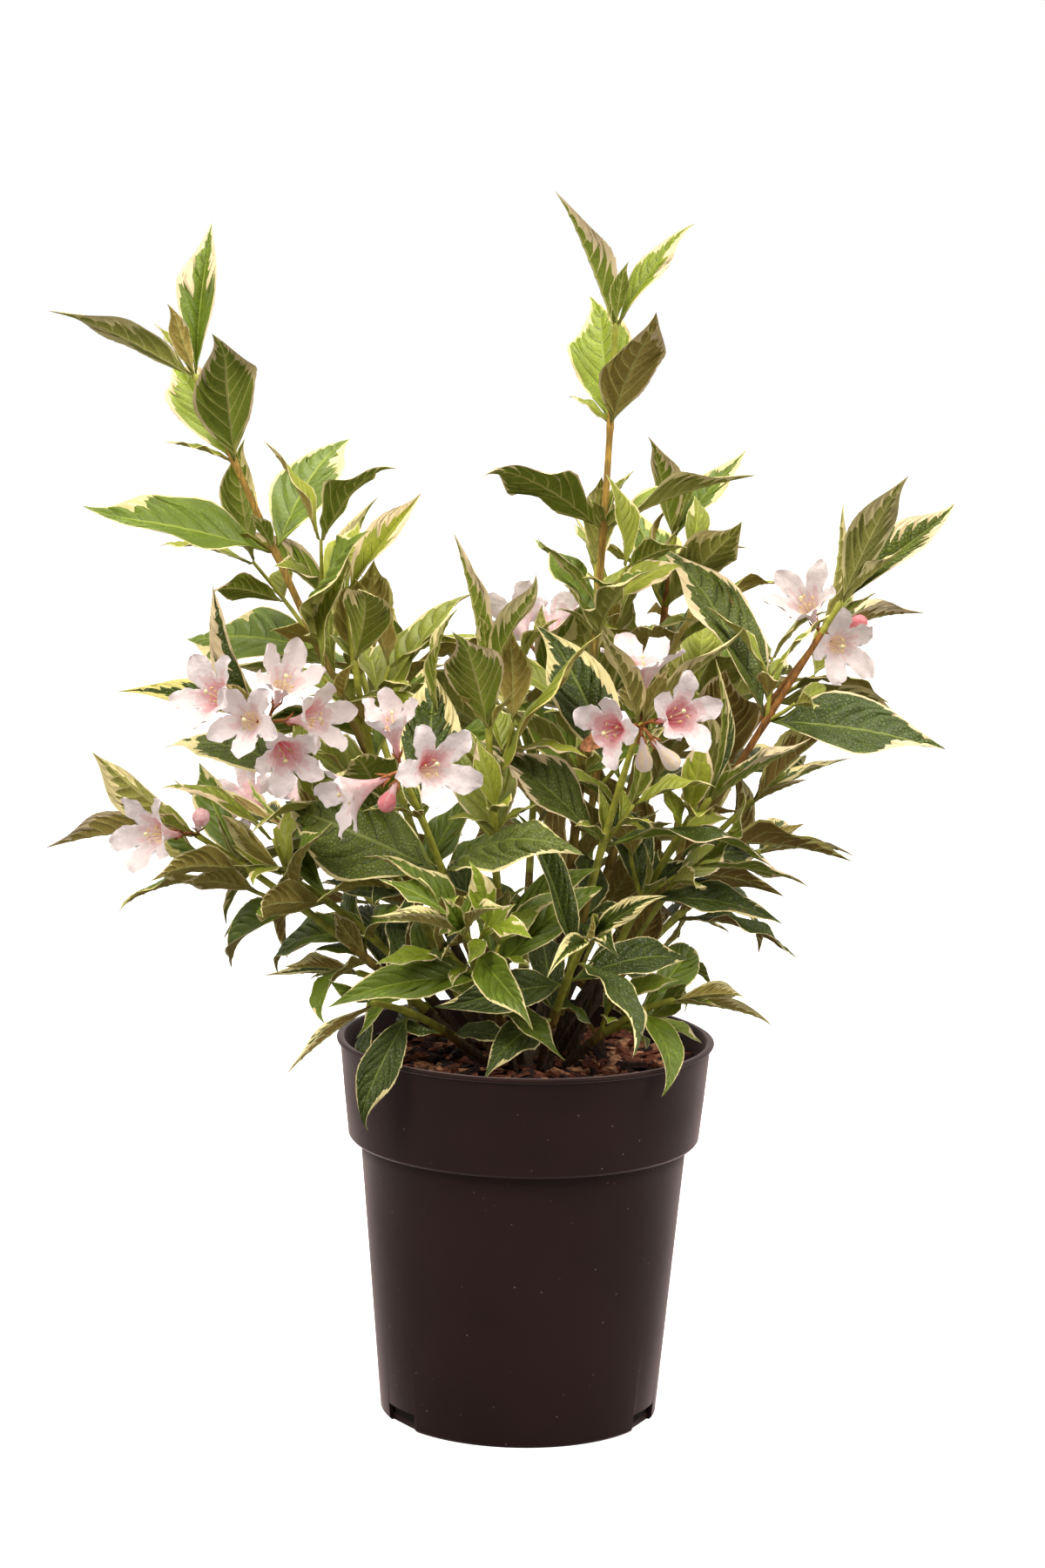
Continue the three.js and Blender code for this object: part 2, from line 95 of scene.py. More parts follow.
# Each shoot: name, habit, tip, its foot's distance from the axis and bearing from +X, the number
# of leaf pairs, the turn of its top pair, the pair with side twigs counted from the top (0 for
# none), the seed of its variation, and the tone of its leaves.
SHOOTS = [
    ("right_bloom", "bloom", (148, 82, 388), 16, 30, 4, 60, 0, 133, "dark"),
    ("left_bloom", "bloom", (-130, -26, 354), 7, 210, 4, 15, 0, 491, "dark"),
    ("far_left_bloom", "bloom", (-164, -30, 298), 26, 199, 4, -15, 2, 525, "mid"),
    ("front_left_bloom", "bloom", (-62, -92, 342), 19, 236, 4, -15, 0, 645, "dark"),
    ("front_right_bloom", "bloom", (52, -62, 362), 18, 310, 4, 0, 0, 31, "dark"),
    ("back_middle", "rear", (4, 126, 366), 18, 100, 5, 0, 2, 24, "mid"),
    ("back_low_left", "spray", (-128, 112, 278), 24, 135, 4, 15, 0, 756, "dark"),
    ("tall_right", "upright", (37, 6, 549), 9, 10, 5, 15, 3, 16, "mid"),
    ("tall_left", "leader", (-169, 6, 520), 11, 165, 5, 30, 3, 195, "mid"),
    ("right_leader", "leader", (151, 0, 415), 15, 355, 3, 60, 0, 449, "dark"),
    ("bright_left", "upright", (-92, -32, 418), 15, 200, 5, 30, 2, 33, "young"),
    ("centre", "upright", (-22, -60, 384), 14, 260, 5, 0, 2, 560, "young"),
    ("centre_back", "upright", (40, 56, 388), 15, 80, 4, 0, 2, 497, "mid"),
    ("mid_right", "upright", (70, 60, 440), 10, 50, 5, 60, 2, 399, "mid"),
    ("right_mid", "spray", (88, -18, 318), 23, 343, 4, -30, 2, 772, "dark"),
    ("right_spray", "spray", (112, 30, 310), 21, 15, 4, 60, 0, 80, "dark"),
    ("left_spray", "spray", (-120, -26, 278), 24, 183, 4, -15, 0, 640, "mid"),
    ("low_front", "spray", (-30, -104, 266), 23, 255, 4, 15, 0, 911, "mid"),
    ("low_front_right", "spray", (28, -88, 260), 23, 290, 4, 15, 0, 358, "dark"),
    ("low_left", "low", (-84, -10, 226), 26, 165, 3, -15, 0, 980, "dark"),
    ("low_front_left", "low", (-74, -76, 225), 26, 220, 3, 0, 0, 671, "dark"),
    ("low_right", "low", (72, -42, 222), 26, 325, 3, 0, 0, 782, "mid"),
    ("back_left", "rear", (-98, 84, 394), 17, 145, 5, 30, 2, 518, "mid"),
    ("back_right", "rear", (82, 136, 356), 19, 60, 5, -75, 2, 447, "mid"),
    ("back_low", "spray", (28, 160, 256), 24, 80, 4, -45, 0, 810, "dark"),
    ("back_low_right", "spray", (120, 108, 270), 24, 44, 4, -15, 0, 290, "dark"),
]

# Each flower: bearing from the front towards +X and elevation in degrees, distance of its mouth
# from the shoot's tip, how far open it is (0 is a bud), and how deeply its throat is flushed (3 is
# as deep as 2, with one lobe withered).
BLOOMS = {
    "left_bloom": [(-44, 25, 43, 0.95, 2), (-12, 10, 40, 0.82, 0), (24, 45, 38, 0.8, 0),
                   (46, 10, 39, 0.75, 1), (20, -20, 36, 0.82, 2)],
    "far_left_bloom": [(-39, 8, 36, 0.9, 1), (10, 30, 28, 0, 1)],
    "front_left_bloom": [(24, 11, 43, 1, 1), (-64, -20, 32, 1, 1), (-17, 57, 34, 0.55, 1),
                         (-14, -26, 30, 0, 2)],
    "front_right_bloom": [(8, 76, 35, 0.9, 1), (-26, 3, 38, 0.78, 3), (30, 15, 41, 0.86, 2),
                          (48, -36, 30, 0, 0), (8, -44, 27, 0, 0)],
    "right_bloom": [(13, 0, 38, 0.85, 0), (-26, 42, 34, 0.85, 0), (50, 23, 30, 0, 2)],
    "back_middle": [(165, 20, 40, 1, 1), (-155, 30, 40, 1, 0), (-170, -15, 30, 0, 2)],
    "back_low_left": [(-140, 15, 40, 1, 2), (170, 25, 38, 1, 0)],
}

# The turns and lifts that a leaf tries, in radians and degrees, until it touches no other.
NUDGES = [(0, 0), (0.2, 0), (-0.2, 0), (0, -10), (0, 12), (0.4, -6), (-0.4, -6), (0.6, 8),
          (-0.6, 8)]


def stream(seed):
    """A repeatable stream of numbers: one call gives a share of 1, the other a swing either way."""
    state = (seed * 7919 + 12345) % 2147483647

    def share():
        nonlocal state
        state = (state * 16807) % 2147483647
        return state / 2147483647

    for _ in range(3):
        share()
    return share, lambda size: (share() * 2 - 1) * size


def unit(vector):
    return vector / np.linalg.norm(vector)


def cross_axes(heading):
    east = unit(EAST - heading * heading[0])
    return east, np.cross(heading, east)


def swung(first, second, angle):
    """A direction swung by an angle towards a second one, which is square to it."""
    return first * math.cos(angle) + second * math.sin(angle)


class Shoot:
    """One cane with its leafy top, on a curve from the stool to its tip."""

    def __init__(self, name, habit, tip, foot_reach, foot_bearing, *rest):
        self.name, self.habit, self.tip = name, habit, np.array(tip, float)
        self.pairs, self.turn, self.twig_pair, self.seed, self.tone = rest
        lean, rise, self.bare, self.leaf, self.open, self.bend = HABITS[habit]
        bearing = math.radians(foot_bearing)
        self.foot = np.array(
            [foot_reach * math.cos(bearing), foot_reach * math.sin(bearing), FOOT_LEVEL])
        self.corner = self.foot + (self.tip - self.foot) * np.array([lean, lean, rise])
        self.turns = np.linspace(0, 1, CURVE_STEPS + 1)
        steps = np.linalg.norm(np.diff(self.on_curve(self.turns[:, None]), axis=0), axis=1)
        self.walked = np.concatenate([[0], np.cumsum(steps)])
        self.length = self.walked[-1]
        self.bare_end = self.bare - STEM_OVERLAP / self.length

    def on_curve(self, turn):
        rest = 1 - turn
        return rest**2 * self.foot + 2 * turn * rest * self.corner + turn**2 * self.tip

    def at(self, share):
        walked = min(max(share, 0), 1) * self.length
        return self.on_curve(np.interp(walked, self.walked, self.turns))

    def heading(self, share):
        return unit(self.at(share + 0.02) - self.at(share - 0.02))

    def radius(self, share):
        return CANE_FOOT_RADIUS - CANE_TAPER * share

    def pair_place(self, pair):
        return self.bare + (1 - self.bare) * (pair / (self.pairs - 1)) ** NODE_SPREAD

    def joint(self, pair):
        """Where a pair of leaves springs, the stem's heading there, and the pair's bearing."""
        place = self.pair_place(pair)
        bearing = math.radians(self.turn + 90 * (self.pairs - 1 - pair))
        return self.at(place), self.heading(place), bearing


class Growth:
    """The leaves and side twigs that a shoot bears, in the order that a seed gives them."""

    # The chances of finer growth in the shade and in the light: of twigs, and of small leaves.
    IN_SHADE, IN_LIGHT = (0.12, 0.22), (0.32, 0.5)
    # Side twigs, in leaf lengths: the least reach and what chance adds, and the sizes of the
    # leaves of their two pairs.
    MAIN_TWIG, FINER_TWIG = (0.4, 0.2, 0.5, 0.66), (0.2, 0.2, 0.34, 0.48)
    # How far along a twig its pairs spring, and how far they open in degrees.
    TWIG_PAIRS = ((0.55, 44), (1, 28))

    def __init__(self, shoot, seed):
        self.shoot, self.last = shoot, shoot.pairs - 1
        self.draw, self.swing = stream(seed)
        self.leaves, self.twigs = [], []

    def leaf(self, joint, base, heading, **rest):
        self.leaves.append(dict(joint=joint, base=base, heading=heading, **rest))

    def main(self):
        """The pairs of full leaves, the closed pair at the tip, and the pair of side twigs."""
        shoot, swing = self.shoot, self.swing
        for pair in range(shoot.pairs):
            height = pair / self.last
            base, heading, bearing = shoot.joint(pair)
            swell = 0.8 + 0.24 * math.sin(math.pi * min(1, height * 1.15))
            swell *= 1 if pair < self.last else TIP_PAIR
            low = base[2] < LOW_LEVEL
            opening = shoot.open + (TIP_OPENING - shoot.open) * height**3
            bearing += swing(0.35)
            for half in HALVES:
                self.leaf(
                    pair, base, heading, bearing=bearing + half + swing(0.25),
                    length=shoot.leaf * swell * (1 + swing(0.1)) * (LOW_LENGTH if low else 1),
                    opening=opening + swing(10), bend=shoot.bend * (1 + swing(0.5)),
                    width=(LEAF_WIDTH + swing(0.05)) * (LOW_WIDTH if low else 1),
                    fold=20 + swing(12), twist=swing(0.75), height=height, low=low,
                    tone=shoot.tone)
            for half in HALVES if pair == self.last else ():
                self.leaf(
                    pair, base + heading * 2, heading, bearing=bearing + math.pi / 2 + half,
                    length=shoot.leaf * (0.38 + swing(0.05)), opening=12 + swing(4), bend=10,
                    width=0.34, fold=35, twist=0, tone="young")
            for half in HALVES if self.last - pair == shoot.twig_pair > 0 else ():
                self.side_twig(pair, half, base, heading, bearing, *self.MAIN_TWIG)
        return self.leaves, self.twigs

    def finer(self):
        """The short twigs and small leaves in the axils, which the main growth leaves out."""
        shoot, draw, swing = self.shoot, self.draw, self.swing
        for pair in range(self.last):
            base, heading, bearing = shoot.joint(pair)
            bearing += swing(0.3)
            twigs, leaves = self.IN_SHADE if base[2] < SHADED_LEVEL else self.IN_LIGHT
            twiggy = self.last - pair != shoot.twig_pair and draw() < twigs
            for half in HALVES:
                if twiggy and draw() < 0.7:
                    self.side_twig(pair, half, base, heading, bearing, *self.FINER_TWIG)
                    continue
                for turn in (-0.9, 0.9) if draw() < leaves else ():
                    self.leaf(
                        pair, base + heading * 1.5, heading,
                        bearing=bearing + half + turn + swing(0.3),
                        length=shoot.leaf * (0.3 + swing(0.12)), opening=30 + swing(14),
                        bend=30 + swing(14), width=0.36, fold=26, twist=swing(0.5),
                        tone="young" if draw() < 0.5 else shoot.tone)
        return self.leaves, self.twigs

    def side_twig(self, pair, half, base, heading, bearing, least, more, *sizes):
        """A side twig from a joint, and the two pairs of leaves on it."""
        shoot, swing = self.shoot, self.swing
        side = bearing + half + swing(0.5)
        spread = math.radians(34 + swing(8))
        out = swung(*cross_axes(heading), side)
        way = unit(swung(heading, out, spread) + UP * 0.25)
        reach = shoot.leaf * (least + self.draw() * more)
        joints = [(pair, half, level) for level in (1, 2)]
        for joint, (along, opening), size in zip(joints, self.TWIG_PAIRS, sizes):
            for turn in HALVES:
                self.leaf(
                    joint, base + way * (reach * along), way,
                    bearing=side + math.pi / 2 * joint[-1] + turn,
                    length=shoot.leaf * size * (1 + swing(0.12)), opening=opening + swing(6),
                    bend=35 + swing(15), width=0.4, fold=24, twist=swing(0.5), tone="young")
        self.twigs.append(dict(joints=joints, base=base, way=way, reach=reach))


# ---------------------------------------------------------------- meshes


def ramp(value, start, span):
    """0 up to the start, then rising to 1 over the span."""
    return np.clip((value - start) / span, 0, 1)


def outline(share):
    """Half a leaf's width along its length, as a share of its widest: wedge-shaped at the foot,
    broad in the middle, with a drawn-out tip."""
    body = ramp(share, 0.05, 0.95)
    swell = (4 * body * (1 - body)) ** 1.1
    narrow = ramp(body, 0.5, 0.45)
    return swell * (1 - 0.56 * narrow * narrow * (3 - 2 * narrow))


def vein_run(share):
    """How far forward a side vein that leaves the midrib at a share has run at the margin."""
    return 0.5 * (1 - share) * np.minimum(1, share / 0.28)


class LeafGrid:
    """The grid that every leaf of one size is drawn on: rows that follow the side veins, lanes
    along the midrib with one more down the middle of the cream margin, a toothed rim, an upper
    skin, an under skin, and where each finish goes."""

    # The upper skin's strips over the side veins take a finish of their own: painted shade, a
    # darker copy of the leaf colour for the shade in those sunk grooves.
    TOP, MARGIN, UNDER, UNDER_VEIN, TOP_VEIN, GROOVE = range(6)
    BASE, TIP = 0, 1
    # Shares of the length: the rows at the foot and at the tip, the first side vein, the last one
    # beyond it and the end of its swelling, and half the width of a vein.
    FOOT_ROWS, TIP_ROWS = (0.0, 0.035, 0.075), (0.925, 0.965, 1.0)
    FIRST_VEIN, VEIN_SPAN, VEINS_END = 0.11, 0.7, 0.9
    VEIN = 0.0048
    MIDRIB_STEPS = 48
    # How deep the rim and the leaf's two ends lie under the upper skin, in millimetres.
    RIM_DEPTH, END_DEPTH = 0.12, 0.2
    # How far a tooth leans forward, in rows, and how far it stands out, in millimetres.
    TOOTH_LEAN, TOOTH_SIZE = 0.62, 0.55
    # The least and the most of each half that may be cream.
    CREAM = (0.03, 0.7)

    def __init__(self, veins, puffs, lanes):
        rows = [(along, 0, 0) for along in self.FOOT_ROWS]
        centres = [
            self.FIRST_VEIN + self.VEIN_SPAN * (k / (veins - 1)) ** 0.92 for k in range(veins)]
        for vein, (here, after) in enumerate(zip(centres, [*centres[1:], self.VEINS_END])):
            rows += [(here - self.VEIN, -1, vein), (here + self.VEIN, -1, vein)]
            rows += [(here + (after - here) * share, lift, vein) for share, lift in puffs]
        rows += [(along, 0, veins) for along in self.TIP_ROWS]
        self.along, self.relief = np.array([row[:2] for row in rows]).T
        self.vein_of = np.array([row[2] for row in rows])
        self.lanes, self.across, self.rows = lanes, len(lanes), len(rows)
        self.count = 2
        wide = 2 * self.across + 1
        self.skin, self.under, self.rim = self.band(wide), self.band(wide), self.band(2)
        self.tooth = self.band(2, 1)
        self.tooth[0] = self.rim[1]
        self.faces = self.stitch()

    def band(self, width, short=0):
        """Numbers for a band of corners, row by row between the two ends of the leaf."""
        inner = self.rows - 2 - short
        table = np.full((self.rows, width), self.TIP)
        table[0] = self.BASE
        table[1:1 + inner] = self.count + np.arange(inner * width).reshape(inner, width)
        self.count += inner * width
        return table

    def stitch(self):
        """The triangles between the corners, each with its finish. Those that would be flat,
        because corners meet at the ends of the leaf, are left out."""
        faces = []

        def add(flip, finish, *triangles):
            for a, b, c in triangles:
                if len({a, b, c}) == 3:
                    faces.append((a, c, b, finish) if flip else (a, b, c, finish))

        for skin, under in ((self.skin, False), (self.under, True)):
            for row in range(self.rows - 1):
                here, after = skin[row], skin[row + 1]
                for lane in range(2 * self.across):
                    a, b, c, d = here[lane], here[lane + 1], after[lane + 1], after[lane]
                    add(under, self.finish_of(row, lane - self.across, under), (a, b, c), (a, c, d))
                for side in (0, 1):
                    a, b, c = here[-side], self.rim[row, side], self.tooth[row, side]
                    d, e = self.rim[row + 1, side], after[-side]
                    add(under != (side == 0), self.MARGIN if row > 1 else self.UNDER,
                        (a, b, c), (a, c, e), (c, d, e))
        return np.array(faces)

    def finish_of(self, row, lane, under):
        if lane in (-self.across, self.across - 1) and row > 1:
            return self.MARGIN
        midrib = lane in (-1, 0) or row < 2
        side_vein = self.relief[row] < 0 and self.relief[row + 1] < 0
        if under:
            return self.UNDER_VEIN if midrib or side_vein else self.UNDER
        if midrib:
            return self.TOP_VEIN
        return self.GROOVE if side_vein and 1 - self.across < lane < self.across - 2 else self.TOP

    def take(self, key):
        """One property of every leaf."""
        return np.array([leaf[key] for leaf in self.leaves], float)

    def column(self, key):
        return self.take(key)[:, None]

    def draw(self, leaves):
        """The corners of every leaf, as one array of leaf, corner, axis, in millimetres."""
        self.leaves = leaves
        self.length = self.column("length")
        self.half = self.length * self.column("width") / 2
        self.walk_midribs()
        corners = np.zeros((len(leaves), self.count, 3))
        green = 1 - self.margins()
        level = np.zeros((len(leaves), self.rows))
        every = np.arange(self.rows)
        for lane in range(-self.across, self.across + 1):
            far, free = abs(lane), green[:, :, 0 if lane < 0 else 1]
            if far < 2:
                s = level + self.lanes[far]
            else:
                s = (1 + free) / 2 if far == self.across else self.lanes[far] * free
            s = s * np.sign(lane)
            for skin, depth in ((self.skin, 0), (self.under, self.depth(lane))):
                spots = self.place(every, s, depth)
                corners[:, skin[1:-1, lane + self.across]] = spots[:, 1:-1]
        fangs = self.take("fangs")[:, :self.rows]
        for side, sign in enumerate((-1, 1)):
            rim = self.place(every, level + sign, self.RIM_DEPTH)
            out = sign * (1 + fangs[:, :, side] * self.TOOTH_SIZE / np.maximum(self.half, 4))
            teeth = self.place(every + self.TOOTH_LEAN, out, self.RIM_DEPTH)
            corners[:, self.rim[1:-1, side]] = rim[:, 1:-1]
            corners[:, self.tooth[1:-2, side]] = teeth[:, 1:-2]
        corners[:, [self.BASE, self.TIP]] = self.place(every, level, self.END_DEPTH)[:, [0, -1]]
        return corners

    def margins(self):
        """How much of each half is cream on every row: the green reaches out between the side veins
        and draws back along them, and a patch or two is broader."""
        jag, notch = self.take("jags")[:, :self.rows], self.take("notches")[:, self.vein_of]
        drawn_in = ((1 - self.relief) / 2)[None, :, None] ** 1.5
        width = self.column("broad")[..., None] * (0.45 + 1.1 * jag)
        width = width + self.column("scallop")[..., None] * notch * drawn_in
        taper = (0.45 + 0.55 * ramp(self.along, 0, 0.4)) * (1 - 0.7 * ramp(self.along, 0.62, 0.3))
        width = width * taper[None, :, None]
        for patch in range(2):
            spot, spread, size, side = self.take("patches")[:, patch].T[:, :, None]
            swell = size * np.exp(-(((self.along[None] - spot) / spread) ** 2))
            width[:, :, 0] += swell * (side < 0.6)
            width[:, :, 1] += swell * (side > 0.4)
        room = np.maximum(outline(self.along + vein_run(self.along)), 0.1)[None, :, None]
        return np.clip(width / (room * self.half[..., None]), *self.CREAM)

    def walk_midribs(self):
        """The midrib of every leaf in its own plane, at even steps from base to tip."""
        steps = self.MIDRIB_STEPS
        share = np.linspace(0, 1, steps + 1)
        self.angles = np.radians(self.column("bend")) * share**1.6 \
            + self.column("curl") * ramp(share, 0.7, 0.3) ** 2
        middle = (self.angles[:, 1:] + self.angles[:, :-1]) / 2
        start = np.zeros((len(self.leaves), 1))
        self.forward = np.concatenate([start, np.cumsum(np.cos(middle) / steps, axis=1)], axis=1)
        self.rise = np.concatenate([start, -np.cumsum(np.sin(middle) / steps, axis=1)], axis=1)

    def on_midrib(self, table, share):
        spot = np.clip(share, 0, 1) * self.MIDRIB_STEPS
        low = np.minimum(spot.astype(int), self.MIDRIB_STEPS - 1)
        part = spot - low
        rows = np.arange(len(table))[:, None]
        return table[rows, low] * (1 - part) + table[rows, low + 1] * part

    def depth(self, lane):
        """How thick the leaf is under each corner of a lane."""
        thick = 0.3 + 0.9 * np.clip(1 - self.along / 0.09, 0, 1)
        if lane == 0:
            thick = thick + 0.75 * (1 - self.along) ** 0.7
        return thick + 0.28 * (self.relief < 0) * (abs(lane) < self.across - 1)

    def place(self, row, s, sunk):
        """Points at shares of the half width s on each row, sunk below the upper skin."""
        column, every = self.column, np.arange(self.rows)
        u, relief = np.interp(row, every, self.along), np.interp(row, every, self.relief)
        t = u + vein_run(u) * (0.35 * np.abs(s) + 0.65 * s * s)
        half = np.maximum(outline(t) * self.half, 0.75 * (t < 0.5))
        half = np.maximum(half, 0.12)
        angle = self.on_midrib(self.angles, t)
        fold = np.radians(column("fold")) * (1.1 - 0.35 * t)
        out = s * half * np.cos(fold)
        up = np.abs(s) * half * np.sin(fold) - column("cup") * half * s * s
        phases = self.take("phases")
        phase = np.where(s < 0, phases[:, :1], phases[:, 1:])
        up += column("ripple") * half * s * s * np.sin(TAU * column("waves") * t + phase)
        puff = np.sin(math.pi * np.minimum(np.abs(s) / 0.92, 1)) ** 0.8
        up += column("quilt") * self.length * relief * puff
        up -= sunk
        spin = column("spin") * (t - LEAF_WAIST)
        across = out * np.cos(spin) - up * np.sin(spin)
        above = up * np.cos(spin) + out * np.sin(spin)
        forward = self.on_midrib(self.forward, t) * self.length + np.sin(angle) * above
        rise = self.on_midrib(self.rise, t) * self.length + np.cos(angle) * above
        late = ramp(t, 0.74, 0.26)
        bow = column("sweep") * t * t + column("flick") * late * late
        base, along, face, side = [column(key) for key in ("base", "along", "face", "side")]
        return base + along * forward[..., None] + face * rise[..., None] \
            + side * (across + bow * self.length)[..., None]


FULL_LEAF = LeafGrid(7, [(0.26, 0.7), (0.52, 1), (0.78, 0.7)], [0, 0.04, 0.33, 0.66, 1])
SMALL_LEAF = LeafGrid(5, [(0.36, 0.9), (0.7, 0.9)], [0, 0.06, 0.5, 1])
# Leaves shorter than this are drawn on the small grid.
SMALL_LENGTH = 44
# Below this level, young leaves are as green as the others.
GREEN_LEVEL = 275
# How far a leaf puffs up between its side veins, as a share of its length.
QUILT = {"dark": 0.013, "mid": 0.0105, "young": 0.0075}
# The look of the low leaves; the others take one of those before it.
LOW_LOOK = 6
# Enough numbers drawn for the rows and for the side veins of any leaf.
MOST_ROWS, MOST_VEINS = 48, 8
# A sketched leaf is narrower than the leaf, so that leaves may just touch.
SKETCH_WIDTH = 0.92


def detail(leaf, seed):
    """Adds what the growth doesn't settle: a leaf's curl, sweep, waves, margin and teeth."""
    chance = np.random.default_rng(seed)
    closed, low = leaf.get("height", 0) ** 3, leaf.get("low")

    def swing(size):
        return chance.uniform(-size, size)

    if leaf["tone"] == "young" and leaf["base"][2] < GREEN_LEVEL:
        leaf["tone"] = "mid"
    dark = leaf["tone"] == "dark"
    leaf["fold"] += 5 + 24 * closed + (8 if low else 0)
    leaf["bend"] *= 1 - 0.6 * closed
    leaf["length"] *= 1 + 0.16 * closed
    leaf["width"] *= 1 - 0.16 * closed
    cream = min(1, leaf["length"] / 70) ** 1.5 * (0.26 if low else 1)
    leaf.update(
        curl=0.12 + swing(0.5) - 0.25 * closed, sweep=swing(0.07), flick=swing(0.07),
        spin=swing(0.6), cup=0.22 + swing(0.22),
        ripple=chance.uniform(0.08, 0.27) * (1 - 0.5 * closed), waves=chance.uniform(1.5, 3.1),
        quilt=(QUILT[leaf["tone"]] + swing(0.002)) * (1 - 0.5 * closed),
        phases=chance.uniform(0, TAU, 2),
        broad=((0.75 if dark else 0.5) + 2.0 * chance.random() ** (1.7 if dark else 2.6)) * cream
        + 2.2 * closed,
        scallop=(0.3 + (3.6 if dark else 2.4) * chance.random() ** 1.8) * cream,
        jags=chance.random((MOST_ROWS, 2)) ** 1.5, notches=chance.random((MOST_VEINS, 2)),
        patches=np.stack([
            chance.uniform(0.3, 0.85, 2), chance.uniform(0.05, 0.16, 2),
            5.0 * chance.random(2) ** 1.7 * cream, chance.random(2)], axis=1),
        fangs=chance.uniform(0.3, 1.25, (MOST_ROWS, 2)),
        look=LOW_LOOK if low else chance.integers(0, LOW_LOOK))


def settle(leaf, turn, lift):
    """Points a leaf its way from its stem: the direction it takes, its upper side and its right."""
    heading = leaf["heading"]
    out = swung(*cross_axes(heading), leaf["bearing"] + turn)
    along = unit(swung(heading, out, math.radians(leaf["opening"] + lift)) - UP * 0.1)
    inward = unit(heading - along * heading.dot(along))
    skyward = UP - along * along[2]
    share = 0.4 * min(1, np.linalg.norm(skyward) * 1.2)
    above = inward * (1 - share) + unit(skyward) * share
    above = unit(above - along * above.dot(along))
    right = np.cross(along, above)
    leaf.update(along=along, face=swung(above, right, leaf["twist"]),
                side=swung(right, -above, leaf["twist"]))


def sketch(leaf):
    """A leaf as a few flat faces, from a little past its root, to test what it would touch."""
    steps, rows, spot = 6, [], leaf["base"]
    fold = math.radians(leaf["fold"])
    for step in range(steps + 1):
        angle = math.radians(leaf["bend"]) * (step / steps) ** 1.6
        if step:
            spot = spot + swung(leaf["along"], -leaf["face"], angle) * (leaf["length"] / steps)
        above = swung(leaf["face"], leaf["along"], angle)
        half = float(outline(np.array(step / steps))) * leaf["length"] * leaf["width"] / 2
        half *= SKETCH_WIDTH
        out, up = leaf["side"] * (half * math.cos(fold)), above * (half * math.sin(fold))
        rows += [spot + out + up, spot, spot - out + up]
    faces = [(a, a + 1, a + 4, a + 3) for row in range(steps - 1) for a in (row * 3, row * 3 + 1)]
    return [tuple(corner) for corner in rows[3:]], faces


class Crowd:
    """What has been placed so far, to keep each new leaf clear of it."""

    def __init__(self):
        self.placed = []

    def rough(self, corners, faces):
        """The least and the greatest corner of a shape, and its tree."""
        points = np.array(corners)
        return points.min(0), points.max(0), BVHTree.FromPolygons(corners, faces)

    def add(self, corners, faces, joints=()):
        self.placed.append((*self.rough(corners, faces), joints))

    def clear(self, corners, faces, joint):
        """Whether a shape touches nothing but what springs from its own joint."""
        low, high, tree = self.rough(corners, faces)
        return not any(
            joint not in joints and (low <= far).all() and (high >= near).all()
            and tree.overlap(other)
            for near, far, other, joints in self.placed)


def tube_faces(rings, sides):
    """The triangles of a closed tube: the corners of its rings come first, then its two ends."""
    first, top = rings * sides, (rings - 1) * sides
    faces = []
    for side in range(sides):
        beside = (side + 1) % sides
        faces.append((first, beside, side))
        for ring in range(0, top, sides):
            a, b = ring + side, ring + beside
            faces += [(a, b, b + sides), (a, b + sides, a + sides)]
        faces.append((top + side, top + beside, first + 1))
    return np.array(faces)


def tube(points, radii, sides, ridge=1.0):
    """A closed tube about a list of points; ridge is each corner's share of its ring's radius."""
    points = np.array(points, float)
    headings = np.gradient(points, axis=0)
    headings /= np.linalg.norm(headings, axis=1)[:, None]
    east = EAST - headings * headings[:, :1]
    east /= np.linalg.norm(east, axis=1)[:, None]
    north = np.cross(headings, east)
    angles = np.arange(sides) / sides * TAU
    reach = np.array(radii, float)[:, None] * ridge
    rings = points[:, None] + east[:, None] * (reach * np.cos(angles))[..., None] \
        + north[:, None] * (reach * np.sin(angles))[..., None]
    corners = np.concatenate([rings.reshape(-1, 3), points[:1], points[-1:]])
    return corners, tube_faces(len(points), sides)


class Heap:
    """Corners and triangles gathered for one piece, each triangle with its finish."""

    def __init__(self):
        self.corners, self.faces, self.finishes, self.rims = [], [], [], []
        self.count = 0

    def add(self, corners, faces, finish=0, rims=()):
        """Adds triangles; edges between two corners that are named as rims stay sharp."""
        corners, faces = np.asarray(corners, float), np.asarray(faces, int)
        flags = np.zeros(len(corners), bool)
        flags[list(rims)] = True
        self.corners.append(corners)
        self.faces.append(faces + self.count)
        self.finishes.append(np.broadcast_to(np.asarray(finish), (len(faces),)))
        self.rims.append(flags)
        self.count += len(corners)

    def piece(self, name, finishes, smooth=True):
        """The gathered triangles as one object, in metres."""
        corners = np.concatenate(self.corners) * MM
        faces = np.concatenate(self.faces)
        mesh = bpy.data.meshes.new(name)
        mesh.vertices.add(len(corners))
        mesh.vertices.foreach_set("co", corners.astype(np.float32).ravel())
        mesh.loops.add(faces.size)
        mesh.loops.foreach_set("vertex_index", faces.astype(np.int32).ravel())
        mesh.polygons.add(len(faces))
        for key, values in (
            ("loop_start", np.arange(0, faces.size, 3, dtype=np.int32)),
            ("material_index", np.concatenate(self.finishes).astype(np.int32)),
            ("use_smooth", np.full(len(faces), smooth)),
        ):
            mesh.polygons.foreach_set(key, values)
        for finish in finishes:
            mesh.materials.append(finish)
        mesh.update(calc_edges=True)
        rims = np.concatenate(self.rims)
        if rims.any():
            ends = np.zeros(len(mesh.edges) * 2, np.int32)
            mesh.edges.foreach_get("vertices", ends)
            sharp = mesh.attributes.new("sharp_edge", "BOOLEAN", "EDGE")
            sharp.data.foreach_set("value", rims[ends.reshape(-1, 2)].all(axis=1))
        made = bpy.data.objects.new(name, mesh)
        bpy.context.scene.collection.objects.link(made)
        return made


